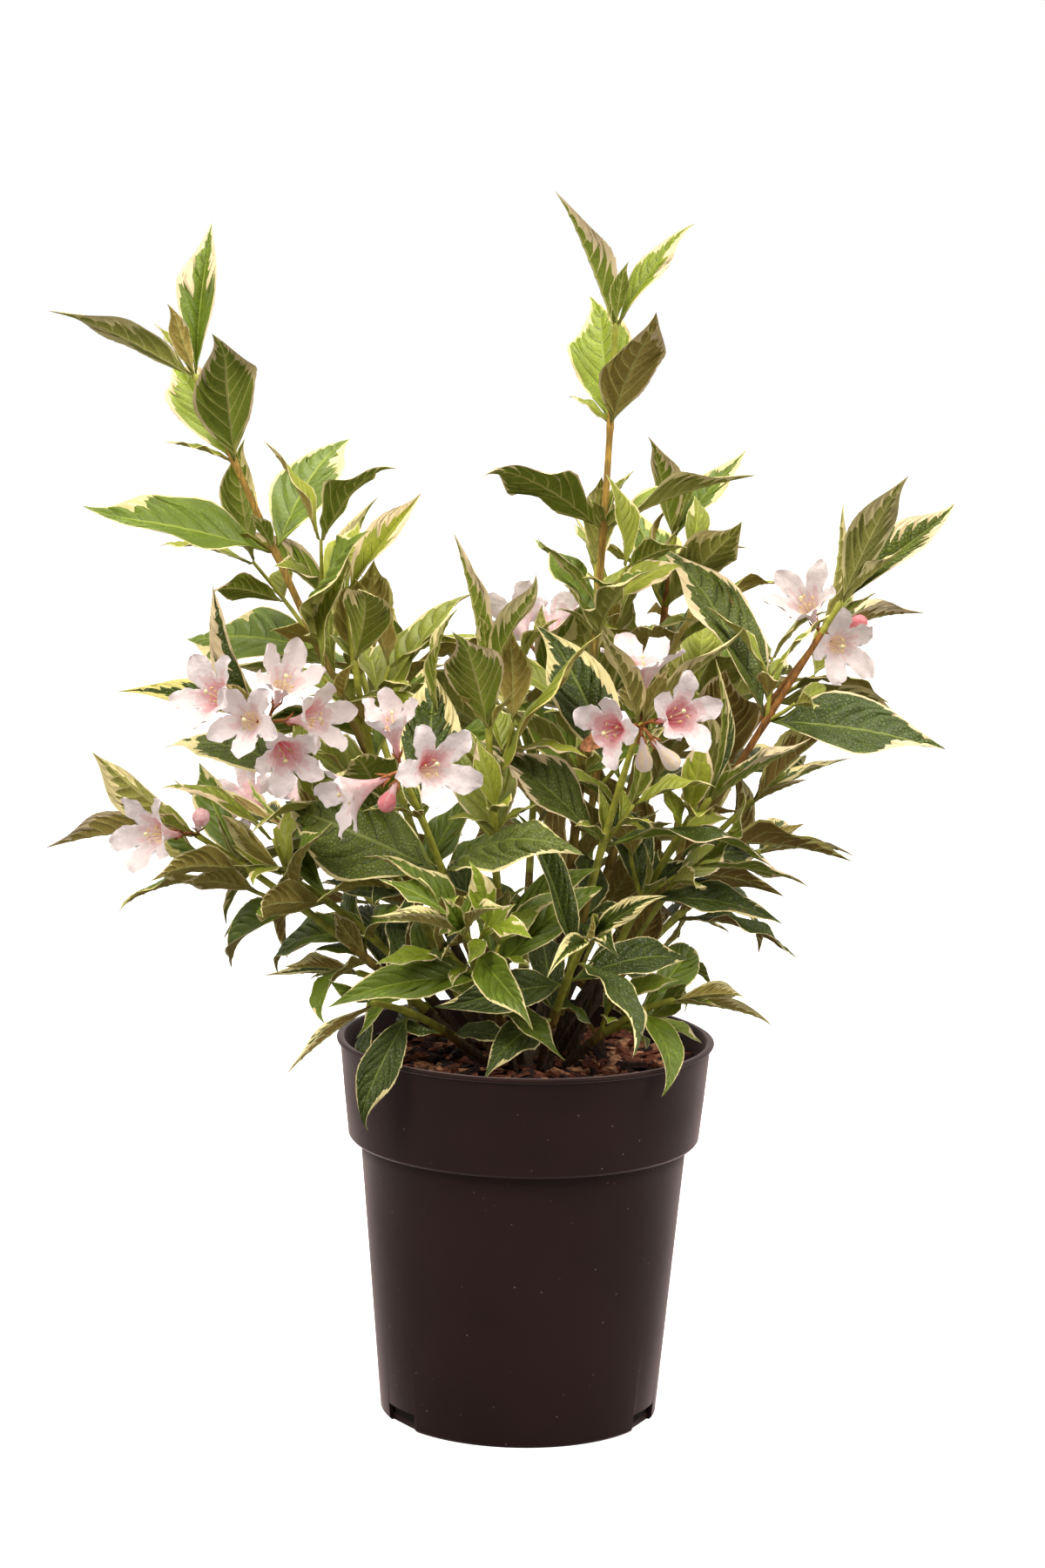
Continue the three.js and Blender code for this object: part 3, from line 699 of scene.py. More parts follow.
# ---------------------------------------------------------------- finishes


def linear(colour):
    """A colour given as shares of screen brightness, as light, with full cover."""
    return (*(c / 12.92 if c <= 0.04045 else ((c + 0.055) / 1.055) ** 2.4 for c in colour[:3]), 1)


def shade(colour, factor):
    return tuple(min(1, c * factor) for c in colour[:3])


def tinted(colour, factors):
    return tuple(c * k for c, k in zip(colour, factors))


def mixed(first, share, second, other):
    """Two colours added up, each by its share."""
    return tuple(share * a + other * b for a, b in zip(first, second))


class Value:
    """A number that changes over a surface; arithmetic on it adds the nodes."""

    def __init__(self, nodes, socket):
        self.nodes, self.socket = nodes, socket

    def maths(self, operation, first, second):
        made = self.nodes.node("ShaderNodeMath", dict(operation=operation), {0: first, 1: second})
        return Value(self.nodes, made.outputs[0])

    def __add__(self, other):
        return self.maths("ADD", self, other)

    def __mul__(self, other):
        return self.maths("MULTIPLY", self, other)

    def __sub__(self, other):
        return self.maths("SUBTRACT", self, other)

    def __rsub__(self, other):
        return self.maths("SUBTRACT", other, self)

    __radd__ = __add__
    __rmul__ = __mul__


class Nodes:
    """A tree of shader nodes, all made by one method."""

    def __init__(self, tree):
        self.tree = tree

    def node(self, kind, settings, sockets):
        """A node of one kind, with its settings made first and then its sockets fed."""
        made = self.tree.nodes.new(kind)
        for key, value in settings.items():
            setattr(made, key, value)
        for key, value in sockets.items():
            self.feed(made.inputs[key], value)
        return made

    def mix(self, share, first, second):
        """A colour between two, by a share; 6, 7 and 2 are the colour sockets of the node."""
        made = self.node(
            "ShaderNodeMix", dict(data_type="RGBA"), {"Factor": share, 6: first, 7: second})
        return made.outputs[2]

    def feed(self, socket, value):
        if isinstance(value, Value):
            value = value.socket
        if isinstance(value, bpy.types.NodeSocket):
            self.tree.links.new(value, socket)
        else:
            socket.default_value = value


class Finish(Nodes):
    """A material built on one Principled shader, with patterns in the object's own coordinates."""

    def __init__(self, name, colour, roughness, **constants):
        self.material = bpy.data.materials.new(name)
        self.material.use_nodes = True
        super().__init__(self.material.node_tree)
        self.shader = self.tree.nodes["Principled BSDF"]
        self.material.diffuse_color = linear(colour)
        self.set(Base_Color=linear(colour), Roughness=roughness, **constants)

    def set(self, **sockets):
        """Feeds the shader's own sockets, whose names have spaces for underscores."""
        for name, value in sockets.items():
            self.feed(self.shader.inputs[name.replace("_", " ")], value)

    def place(self, stretch):
        spot = self.node("ShaderNodeTexCoord", {}, {}).outputs["Object"]
        if stretch == (1, 1, 1):
            return spot
        return self.node("ShaderNodeMapping", {}, {"Vector": spot, "Scale": stretch}).outputs[0]

    def noise(self, size, detail=3.0, stretch=(1, 1, 1)):
        """Soft mottling with patches of about this size in millimetres."""
        made = self.node("ShaderNodeTexNoise", {}, {
            "Vector": self.place(stretch), "Scale": 1000 / size, "Detail": detail,
            "Roughness": 0.55})
        return Value(self, made.outputs[0])

    def cells(self, size, feature="F1"):
        made = self.node("ShaderNodeTexVoronoi", dict(feature=feature), {
            "Vector": self.place((1, 1, 1)), "Scale": 1000 / size})
        return Value(self, made.outputs["Distance"])

    def band(self, value, low, high, dark=0.0, bright=1.0):
        """Maps a value between low and high to dark and bright, and holds it there."""
        made = self.node("ShaderNodeMapRange", dict(clamp=True), {
            "Value": value, "From Min": low, "From Max": high, "To Min": dark, "To Max": bright})
        return Value(self, made.outputs[0])

    def blend(self, share, *colours):
        """A mix of two colours, each a socket or as shares of screen brightness."""
        return self.mix(share, *[
            colour if isinstance(colour, bpy.types.NodeSocket) else linear(colour)
            for colour in colours])

    def bump(self, height, strength, distance):
        made = self.node("ShaderNodeBump", {}, {
            "Strength": strength, "Distance": distance, "Height": height})
        self.set(Normal=made.outputs[0])


def leafy(name, colour, roughness, mottle=0.12, size=9.0, wrinkle=0.0, gloss=0.3, net=2.6,
          glow=0.0):
    """A living surface: its colour drifts a little, and fine puckers between the smallest veins,
    raised where wrinkle is above nothing and sunk where it is below, give it a grain. Where the
    puckers are raised, the sunk net between them is painted darker, painted shade in its grooves;
    where they are sunk, the raised net is paler, as the fine veins are. It glows evenly by glow, a
    painted glow that stands in for the light shining through a thin surface."""
    made = Finish(name, colour, roughness, Specular_IOR_Level=gloss,
                  Emission_Color=linear(colour), Emission_Strength=glow)
    drift = made.band(made.noise(size, 2), 0.3, 0.7)
    ground = made.blend(drift, shade(colour, 1 - mottle), shade(colour, 1 + mottle))
    grain = made.noise(1.1, 2) * 0.12
    if wrinkle:
        # Painted shade: with wrinkle above nothing, the sunk net between the puckers is darker;
        # with wrinkle below nothing, the raised net is paler, as the fine veins are.
        swell = made.band(made.cells(net, "DISTANCE_TO_EDGE"), 0.0, 0.26)
        ground = made.blend(swell, shade(colour, 1 - 0.14 * wrinkle), ground)
        grain = grain + swell * wrinkle
    made.set(Base_Color=ground)
    made.bump(grain, 0.45, 0.0005)
    return made.material


def petal(name, colour, glow):
    """A thin petal with a painted glow: it glows evenly, a little warmer than its colour, which
    stands in for the light shining through it and lifts its shade.
    """
    made = Finish(name, colour, 0.6, Specular_IOR_Level=0.25, Emission_Strength=glow,
                  Emission_Color=tinted(linear(colour), (1, 0.92, 0.88, 1)))
    drift = made.band(made.noise(5, 2), 0.3, 0.7)
    made.set(Base_Color=made.blend(drift, shade(colour, 0.865), shade(colour, 0.915)))
    made.bump(made.noise(1.8, 2) + made.noise(5, 1) * 2, 0.6, 0.0008)
    return made.material


def pot_plastic(colour):
    """Dull dark plastic with a fine grain, faint scuffs and specks of dust."""
    made = Finish("pot_plastic", colour, 0.45, Specular_IOR_Level=0.28,
                  Specular_Tint=(1.0, 0.84, 0.81, 1.0), Sheen_Weight=0.95, Sheen_Roughness=0.32,
                  Sheen_Tint=(1.0, 0.78, 0.79, 1.0))
    dust = (0.55, 0.48, 0.44)
    drift = made.band(made.noise(60, 2), 0.35, 0.65)
    specks = made.band(made.cells(6), 0.085, 0.05) * made.band(made.noise(13, 1), 0.47, 0.57)
    streaks = made.noise(2.2, 3, (0.12, 0.12, 1))
    scuffs = made.band(streaks, 0.72, 0.78) * made.band(made.noise(45, 1), 0.58, 0.66)
    ground = made.blend(drift, shade(colour, 0.94), shade(colour, 1.06))
    worn = made.blend(scuffs * 0.45, ground, shade(colour, 2.8))
    made.set(Base_Color=made.blend(specks * 0.7, worn, dust),
             Roughness=made.band(made.noise(25, 3), 0.3, 0.7, 0.4, 0.5) + scuffs * 0.2)
    made.bump(made.noise(1.4, 2) + made.noise(9, 2) * 2, 0.1, 0.0002)
    return made.material


def bark(name, colour, dark):
    """Ribbed bark, darker in its cracks."""
    made = Finish(name, colour, 0.8)
    ribs = made.noise(1.4, 4, (1, 1, 0.16))
    patches = made.band(made.noise(11, 2), 0.35, 0.65)
    ground = made.blend(patches, shade(colour, 0.82), shade(colour, 1.14))
    made.set(Base_Color=made.blend(made.band(ribs, 0.42, 0.62), shade(colour, dark), ground))
    made.bump(ribs, 0.7, 0.0006)
    return made.material


def chip_wood(name, colour):
    """Shredded bark, stringy along its length and broken in tone."""
    made = Finish(name, colour, 0.85)
    strings = made.noise(2.0, 4, (0.5, 1, 1.4))
    tone = made.band(strings, 0.35, 0.7)
    made.set(Base_Color=made.blend(tone, shade(colour, 0.5), shade(colour, 1.3)))
    made.bump(strings, 0.8, 0.0008)
    return made.material


# ---------------------------------------------------------------- settings

Length = partial(bpy.props.FloatProperty, unit="LENGTH")
Colour = partial(
    bpy.props.FloatVectorProperty, subtype="COLOR_GAMMA", size=3, min=0, max=1)


class PotSizes(bpy.types.PropertyGroup):
    """The pot's own sizes and colour."""

    height: Length(
        name="Height", description="From the flat underside to the rim", default=0.193)
    rim_radius: Length(
        name="Rim radius", description="Radius of the thin lip", default=0.095)
    collar_radius: Length(
        name="Collar radius", description="Radius of the collar just under the lip",
        default=0.0931)
    collar_foot_radius: Length(
        name="Collar foot radius", description="Radius of the collar's lower edge",
        default=0.0884)
    collar_foot: Length(
        name="Collar foot height", description="Height of the collar's lower edge", default=0.142)
    body_radius: Length(
        name="Body radius", description="Radius of the body under the collar", default=0.0823)
    base_radius: Length(
        name="Base radius", description="Radius of the body at the ground", default=0.070)
    wall: Length(
        name="Wall", description="Thickness of the plastic", default=0.0022)
    sides: bpy.props.IntProperty(
        name="Sides", description="Faces round the pot", default=144, min=24)
    colour: Colour(
        name="Plastic", description="Colour of the plastic", default=(0.158, 0.09, 0.087))


class MulchSizes(bpy.types.PropertyGroup):
    """The bark chips on the potting mix."""

    chips: bpy.props.IntProperty(
        name="Chips", description="How many bark chips lie on the mix", default=760, min=0)
    length: Length(
        name="Chip length", description="Length of a middling chip", default=0.016)
    pale: Colour(
        name="Pale chips", description="Colour of the palest chips", default=(0.74, 0.53, 0.39))
    red: Colour(
        name="Red chips", description="Colour of most chips", default=(0.49, 0.275, 0.185))
    dark: Colour(
        name="Dark chips", description="Colour of the damp chips", default=(0.19, 0.09, 0.065))


class PlantColours(bpy.types.PropertyGroup):
    """The colours of leaves, stems and flowers."""

    dark_leaf: Colour(
        name="Old leaf", description="Upper side of the oldest leaves",
        default=(0.306, 0.366, 0.108))
    mid_leaf: Colour(
        name="Leaf", description="Upper side of most leaves", default=(0.414, 0.490, 0.122))
    young_leaf: Colour(
        name="Young leaf", description="Upper side of the youngest leaves",
        default=(0.535, 0.566, 0.182))
    underside: Colour(
        name="Underside", description="Underside of the leaves", default=(0.60, 0.575, 0.30))
    margin: Colour(
        name="Margin", description="Cream edge of the leaves", default=(0.885, 0.83, 0.60))
    vein: Colour(
        name="Veins", description="Ribs on the underside", default=(0.75, 0.73, 0.45))
    green_stem: Colour(
        name="Green stem", description="Young stems", default=(0.62, 0.62, 0.24))
    tan_stem: Colour(
        name="Tan stem", description="Ripening stems", default=(0.74, 0.58, 0.26))
    ripe_stem: Colour(
        name="Ripe stem", description="Stems that turn to wood", default=(0.64, 0.42, 0.18))
    old_wood: Colour(
        name="Old wood", description="Bark at the foot of the canes", default=(0.37, 0.285, 0.18))
    petal: Colour(
        name="Petal", description="Palest part of the flowers", default=(0.87, 0.826, 0.819))
    throat: Colour(
        name="Throat", description="Cream of an unflushed throat", default=(0.94, 0.86, 0.74))
    deep: Colour(
        name="Deep pink", description="Buds and the deepest throats", default=(0.86, 0.40, 0.43))
    stamen: Colour(
        name="Stamens", description="Stamens and stigma", default=(0.93, 0.88, 0.68))


class StudioSetup(bpy.types.PropertyGroup):
    """Floor, lights and camera."""

    floor: Colour(
        name="Floor", description="Colour of the floor", default=(0.94, 0.94, 0.94))
    glow: bpy.props.FloatProperty(
        name="Floor glow", description="How bright the paper floor is seen without any light",
        default=0.72)
    bounce: bpy.props.FloatProperty(
        name="Floor bounce", description="How pale the floor is to the plant above it",
        default=0.46)
    key: bpy.props.FloatProperty(
        name="Key lights", description="Power of each front light", default=51.0, unit="POWER")
    sky: bpy.props.FloatProperty(
        name="Surround", description="Brightness of the white surround behind the plant",
        default=0.76)
    shade: bpy.props.FloatProperty(
        name="Camera side", description="Brightness of the dimmer side towards the camera",
        default=0.12)
    lens: bpy.props.FloatProperty(
        name="Lens", description="Focal length in millimetres", default=100.0)


# ---------------------------------------------------------------- pieces


def deselect():
    if bpy.context.object and bpy.context.object.mode != "OBJECT":
        bpy.ops.object.mode_set(mode="OBJECT")
    bpy.ops.object.select_all(action="DESELECT")


def apply_all(piece):
    """Applies a piece's modifiers in order."""
    bpy.context.view_layer.objects.active = piece
    for modifier in list(piece.modifiers):
        bpy.ops.object.modifier_apply(modifier=modifier.name)


def turned(name, sides, rings, close=False):
    """A piece about the axis through rings, each a radius and a height, from its flat underside."""
    deselect()
    (radius, level), *rest = rings
    bpy.ops.mesh.primitive_circle_add(
        vertices=sides, radius=radius, fill_type="NGON", location=(0, 0, level))
    piece = bpy.context.object
    piece.name = piece.data.name = name
    bpy.ops.object.mode_set(mode="EDIT")
    bpy.ops.mesh.select_all(action="SELECT")
    for next_radius, next_level in rest:
        ratio, lift = next_radius / radius, next_level - level
        bpy.ops.mesh.extrude_region_move(TRANSFORM_OT_translate={"value": (0, 0, lift)})
        bpy.ops.transform.resize(value=(ratio, ratio, 1))
        radius, level = next_radius, next_level
    if close:
        bpy.ops.mesh.merge(type="CENTER")
    bpy.ops.mesh.select_all(action="SELECT")
    bpy.ops.mesh.remove_doubles(threshold=1e-6)
    bpy.ops.mesh.normals_make_consistent(inside=False)
    bpy.ops.object.mode_set(mode="OBJECT")
    return piece


class WEIGELA_OT_pot(bpy.types.Operator):
    """Turns the pot: a tapered body, a deeper collar, a thin lip and three notches at its foot"""

    bl_idname = "weigela.pot"
    bl_label = "Pot"

    # The bearings of the notches from the front, in degrees; all sizes below are in metres.
    NOTCHES = (-57, 65, 184)
    NOTCH_WIDTH, NOTCH_DEPTH, NOTCH_HEIGHT, NOTCH_OUT = 0.024, 0.008, 0.009, 0.0005
    # The thickness of the floor and of the lip, and how far edges are turned in.
    FLOOR, LIP, EDGE = 0.003, 0.0026, 0.0012
    BEVEL, BEVEL_ANGLE, SMOOTH_ANGLE = 0.0004, math.radians(28), math.radians(35)

    def execute(self, context):
        sizes = context.scene.weigela_pot
        piece = turned("pot_shell", sizes.sides, self.profile(sizes))
        for bearing in self.NOTCHES:
            self.cut_notch(piece, math.radians(bearing), sizes.base_radius + self.NOTCH_OUT)
        edges = piece.modifiers.new("edges", "BEVEL")
        edges.width, edges.segments, edges.angle_limit = self.BEVEL, 2, self.BEVEL_ANGLE
        apply_all(piece)
        deselect()
        piece.select_set(True)
        context.view_layer.objects.active = piece
        bpy.ops.object.shade_smooth_by_angle(angle=self.SMOOTH_ANGLE)
        piece.data.materials.append(pot_plastic(sizes.colour))
        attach(piece, "root")
        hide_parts("pot")
        return {"FINISHED"}

    def profile(self, sizes):
        """Radius and height of each ring, up the outside and down the inside."""
        wall, lip = sizes.wall, sizes.height - self.LIP
        base, body, collar = sizes.base_radius, sizes.body_radius, sizes.collar_foot_radius
        rim, inner, step = sizes.rim_radius, sizes.collar_radius - wall, sizes.collar_foot
        return [
            (base - self.EDGE, 0.0),
            (base, self.EDGE),
            (base + 0.0041, 0.048),
            (base + 0.0082, 0.095),
            (body, step - 0.0006),
            (collar - self.EDGE, step),
            (collar, step + 0.0014),
            (collar + 0.0024, step + 0.024),
            (sizes.collar_radius, lip),
            (rim - 0.0003, lip + 0.0008),
            (rim, lip + 0.0018),
            (rim - 0.0004, sizes.height - 0.0007),
            (rim - 0.0014, sizes.height),
            (inner + 0.0006, sizes.height),
            (inner, sizes.height - self.EDGE),
            (collar - wall, step + 0.002),
            (body - wall, step),
            (base - wall, self.FLOOR),
            (0.0005, self.FLOOR),
        ]

    def cut_notch(self, piece, turn, reach):
        deselect()
        spot = (reach * math.sin(turn), -reach * math.cos(turn), 0)
        bpy.ops.mesh.primitive_cube_add(size=1, location=spot, rotation=(0, 0, turn))
        cutter = bpy.context.object
        cutter.scale = (self.NOTCH_WIDTH, self.NOTCH_DEPTH, self.NOTCH_HEIGHT * 2)
        bpy.ops.object.transform_apply(location=True, rotation=True, scale=True)
        cut = piece.modifiers.new("notch", "BOOLEAN")
        cut.operation, cut.object, cut.solver = "DIFFERENCE", cutter, "EXACT"
        apply_all(piece)
        bpy.data.objects.remove(cutter)


class WEIGELA_OT_mulch(bpy.types.Operator):
    """Fills the pot with potting mix and strews bark chips over it"""

    bl_idname = "weigela.mulch"
    bl_label = "Potting mix and bark chips"

    # The bed's rings, as shares of its radius and of its rise.
    BED = ((0.76, 0), (0.88, 0.78), (1, 1), (0.86, 1), (0.68, 1), (0.5, 1), (0.32, 1), (0.16, 1))
    # The outline of a chip, as shares of its length and width.
    CHIP = ((-0.5, -0.3), (-0.36, 0.42), (0.2, 0.5), (0.5, 0.22), (0.42, -0.4), (-0.1, -0.5))
    # Chips keep within this distance of the axis, in millimetres.
    CLEAR = 88.6
    # Where the pale chips end and the dark ones begin, as shares of all.
    TONES = (0.26, 0.68)
    BED_SIDES, BED_SEED, CHIP_SEED = 72, 71, 2024
    # How far the bed's grain rises and falls, how far it is sunk, and the gap to the pot, in
    # metres; its outermost part, beyond this share of its radius, stays level.
    GRAIN, SINK, GAP, LEVEL_EDGE = 0.0018, 0.0006, 0.0006, 0.95

    def execute(self, context):
        sizes = context.scene.weigela_mulch
        self.bed(sizes)
        heap, (draw, swing) = Heap(), stream(self.CHIP_SEED)
        for _ in range(sizes.chips):
            self.chip(heap, sizes.length / MM, draw, swing)
        piece = heap.piece("bark_chips", [
            chip_wood(f"{tone}_chips", getattr(sizes, tone)) for tone in ("pale", "red", "dark")
        ], smooth=False)
        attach(piece, "root")
        return {"FINISHED"}

    def bed(self, sizes):
        low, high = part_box("potting_mix")
        radius, rise = high.x - self.GAP, high.z - low.z
        rings = [(radius * out, low.z + rise * up) for out, up in self.BED]
        piece = turned("potting_bed", self.BED_SIDES, rings, close=True)
        _, swing = stream(self.BED_SEED)
        for vertex in piece.data.vertices:
            reach = math.hypot(vertex.co.x, vertex.co.y)
            if vertex.co.z > high.z - MM and reach < radius * self.LEVEL_EDGE:
                vertex.co.z += swing(self.GRAIN) - self.SINK
        for face in piece.data.polygons:
            face.use_smooth = True
        piece.data.materials.append(chip_wood("damp_mix", shade(sizes.dark, 0.8)))
        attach(piece, "root")
        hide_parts("potting_mix")

    def chip(self, heap, middling, draw, swing):
        """A split six-sided sliver, thin, tilted and jagged at its ends."""
        reach = self.CLEAR * math.sqrt(draw()) * 0.985
        bearing = draw() * TAU
        long = middling * (0.45 + 1.15 * draw() ** 1.6)
        wide = long * (0.2 + 0.26 * draw())
        thick = 0.9 + 1.9 * draw()
        level = SOIL_LEVEL + 0.6 + 4.2 * draw() ** 1.4 + 2.2 * max(0, 1 - reach / 60)
        outward = np.array([math.cos(bearing), math.sin(bearing)])
        centre = np.array([*(reach * outward), level])
        heading = draw() * TAU
        way = unit(np.array([math.cos(heading), math.sin(heading), swing(0.35)]))
        side = unit(np.cross(UP + np.array([swing(0.45), swing(0.45), 0]), way))
        over = np.cross(way, side)
        ring = [(a * long * (1 + swing(0.22)), b * wide * (1 + swing(0.3)), swing(0.5))
                for a, b in self.CHIP]
        corners = []
        for height, shrink in ((-0.5, 1), (0.5, 0.82)):
            for a, b, lift in ring:
                corners.append(centre + way * a * shrink + side * b * shrink
                               + over * (height * thick + lift * 0.6 + 0.006 * a * a))
        corners = np.array(corners)
        corners = np.concatenate(
            [corners, [corners[:6].mean(0), corners[6:].mean(0) + over * 0.3]])
        beyond = np.hypot(corners[:, 0], corners[:, 1]).max() - self.CLEAR
        if beyond > 0:
            corners[:, :2] -= outward * beyond * 1.15
        faces = []
        for k in range(6):
            n = (k + 1) % 6
            faces += [(k, n, 6 + k), (n, 6 + n, 6 + k), (12, n, k), (13, 6 + k, 6 + n)]
        flat = np.cross(corners[1] - corners[0], corners[6] - corners[0])
        if flat.dot(corners[0] - corners[12]) <= 0:
            faces = [(a, c, b) for a, b, c in faces]
        heap.add(corners, faces, np.searchsorted(self.TONES, draw(), side="right"))


class Plant:
    """The whole plant's growth, worked out once and shared by the operators."""

    # The seeds of the finer growth are those of the main growth and this.
    FINER_SEEDS = 5000
    # The mouth of an open flower, and the girth kept free about a bud.
    MOUTH_RADIUS, BUD_RADIUS = 19, 4
    # The way kept free of leaves in front of every flower: how far, and how far aside.
    VIEW_REACH, VIEW_RADIUS = 110, 17
    # Leaves keep out of the pot: above this level, off the rim inside this reach up to the rim's
    # top, and clear of the mix by this much anywhere within the pot's reach.
    LEAST_LEVEL, RIM_REACH, RIM_TOP, POT_REACH, MIX_GAP = 150, 88, 195, 97, 2
    # The share of its reach that a side twig keeps when its last pair finds no room.
    CUT_BACK = 0.55

    grown = None

    @classmethod
    def get(cls):
        cls.grown = cls.grown or cls()
        return cls.grown

    def __init__(self):
        self.shoots = [Shoot(*row) for row in SHOOTS]
        self.crowd = Crowd()
        self.twigs, self.leaves, self.mouths = [], [], []
        for shoot in self.shoots:
            self.crowd.add(*self.rough_tube(shoot, 0, shoot.bare_end, 1.0))
        for index, shoot in enumerate(self.shoots):
            joints = [(index, pair) for pair in range(shoot.pairs)]
            self.crowd.add(*self.rough_tube(shoot, shoot.bare_end, 1, 0.8), joints)
        for index, shoot in enumerate(self.shoots):
            for bearing, elevation, reach, opened, _ in BLOOMS.get(shoot.name, []):
                way = flower_way(bearing, elevation)
                rim = self.MOUTH_RADIUS * opened if opened else self.BUD_RADIUS
                cone = flower_sketch(shoot.tip, way, reach, rim)
                self.crowd.add(*cone, [(index, shoot.pairs - 1)])
                ahead = unit(way * np.array([0.5, 1, 0.5]))
                self.mouths.append((shoot.tip + way * reach, ahead))
        for kind, offset in ((Growth.main, 0), (Growth.finer, self.FINER_SEEDS)):
            for index, shoot in enumerate(self.shoots):
                self.grow(index, shoot, *kind(Growth(shoot, shoot.seed + offset)))

    def rough_tube(self, shoot, start, end, swell):
        shares = np.linspace(start, end, 6)
        girth = [shoot.radius(share) * swell for share in shares]
        corners, faces = tube([shoot.at(share) for share in shares], girth, 3)
        return corners.tolist(), faces.tolist()

    def grow(self, index, shoot, leaves, twigs):
        """Keeps the leaves that find room, and the twigs that bear some of them."""
        leafed = set()
        for leaf in leaves:
            joint = (index, leaf["joint"])
            for turn, lift in NUDGES:
                settle(leaf, turn, lift)
                corners, faces = sketch(leaf)
                if self.open_to_light(corners) and self.outside_pot(corners) \
                        and self.crowd.clear(corners, faces, joint):
                    self.crowd.add(corners, faces, [joint])
                    detail(leaf, shoot.seed * 31 + len(self.leaves))
                    self.leaves.append(leaf)
                    leafed.add(leaf["joint"])
                    break
        for twig in twigs:
            near, far = twig["joints"]
            if near in leafed or far in leafed:
                twig["reach"] *= 1 if far in leafed else self.CUT_BACK
                self.twigs.append(twig)

    def open_to_light(self, corners):
        """Whether a leaf leaves the way in front of every flower free."""
        points = np.array(corners)
        for mouth, way in self.mouths:
            ahead = points - mouth
            far = ahead @ way
            aside = np.linalg.norm(ahead - far[:, None] * way, axis=1)
            if ((far > 0) & (far < self.VIEW_REACH) & (aside < self.VIEW_RADIUS)).any():
                return False
        return True

    def outside_pot(self, corners):
        """Whether a leaf keeps out of the pot and of the potting mix."""
        x, y, z = np.array(corners).T
        reach = np.hypot(x, y)
        over_pot = reach < self.POT_REACH
        sunk = over_pot & (z < SOIL_LEVEL + self.MIX_GAP)
        on_rim = over_pot & (reach > self.RIM_REACH) & (z < self.RIM_TOP)
        return not (sunk | on_rim | (z < self.LEAST_LEVEL)).any()


def flower_way(bearing, elevation):
    turn, lift = math.radians(bearing), math.radians(elevation)
    return np.array(
        [math.sin(turn) * math.cos(lift), -math.cos(turn) * math.cos(lift), math.sin(lift)])


def flower_sketch(tip, way, reach, rim):
    """A flower as a plain cone, to keep leaves clear of it."""
    axes, sides = cross_axes(way), 8
    ring = [tip + way * reach * 0.95 + swung(*axes, angle) * rim
            for angle in np.arange(sides) / sides * TAU]
    corners = [tip + way * reach * 0.3, *ring, tip + way * reach * 0.9]
    steps = [(k + 1, (k + 1) % sides + 1) for k in range(sides)]
    faces = [(0, a, b) for a, b in steps] + [(sides + 1, b, a) for a, b in steps]
    return [tuple(corner) for corner in corners], faces


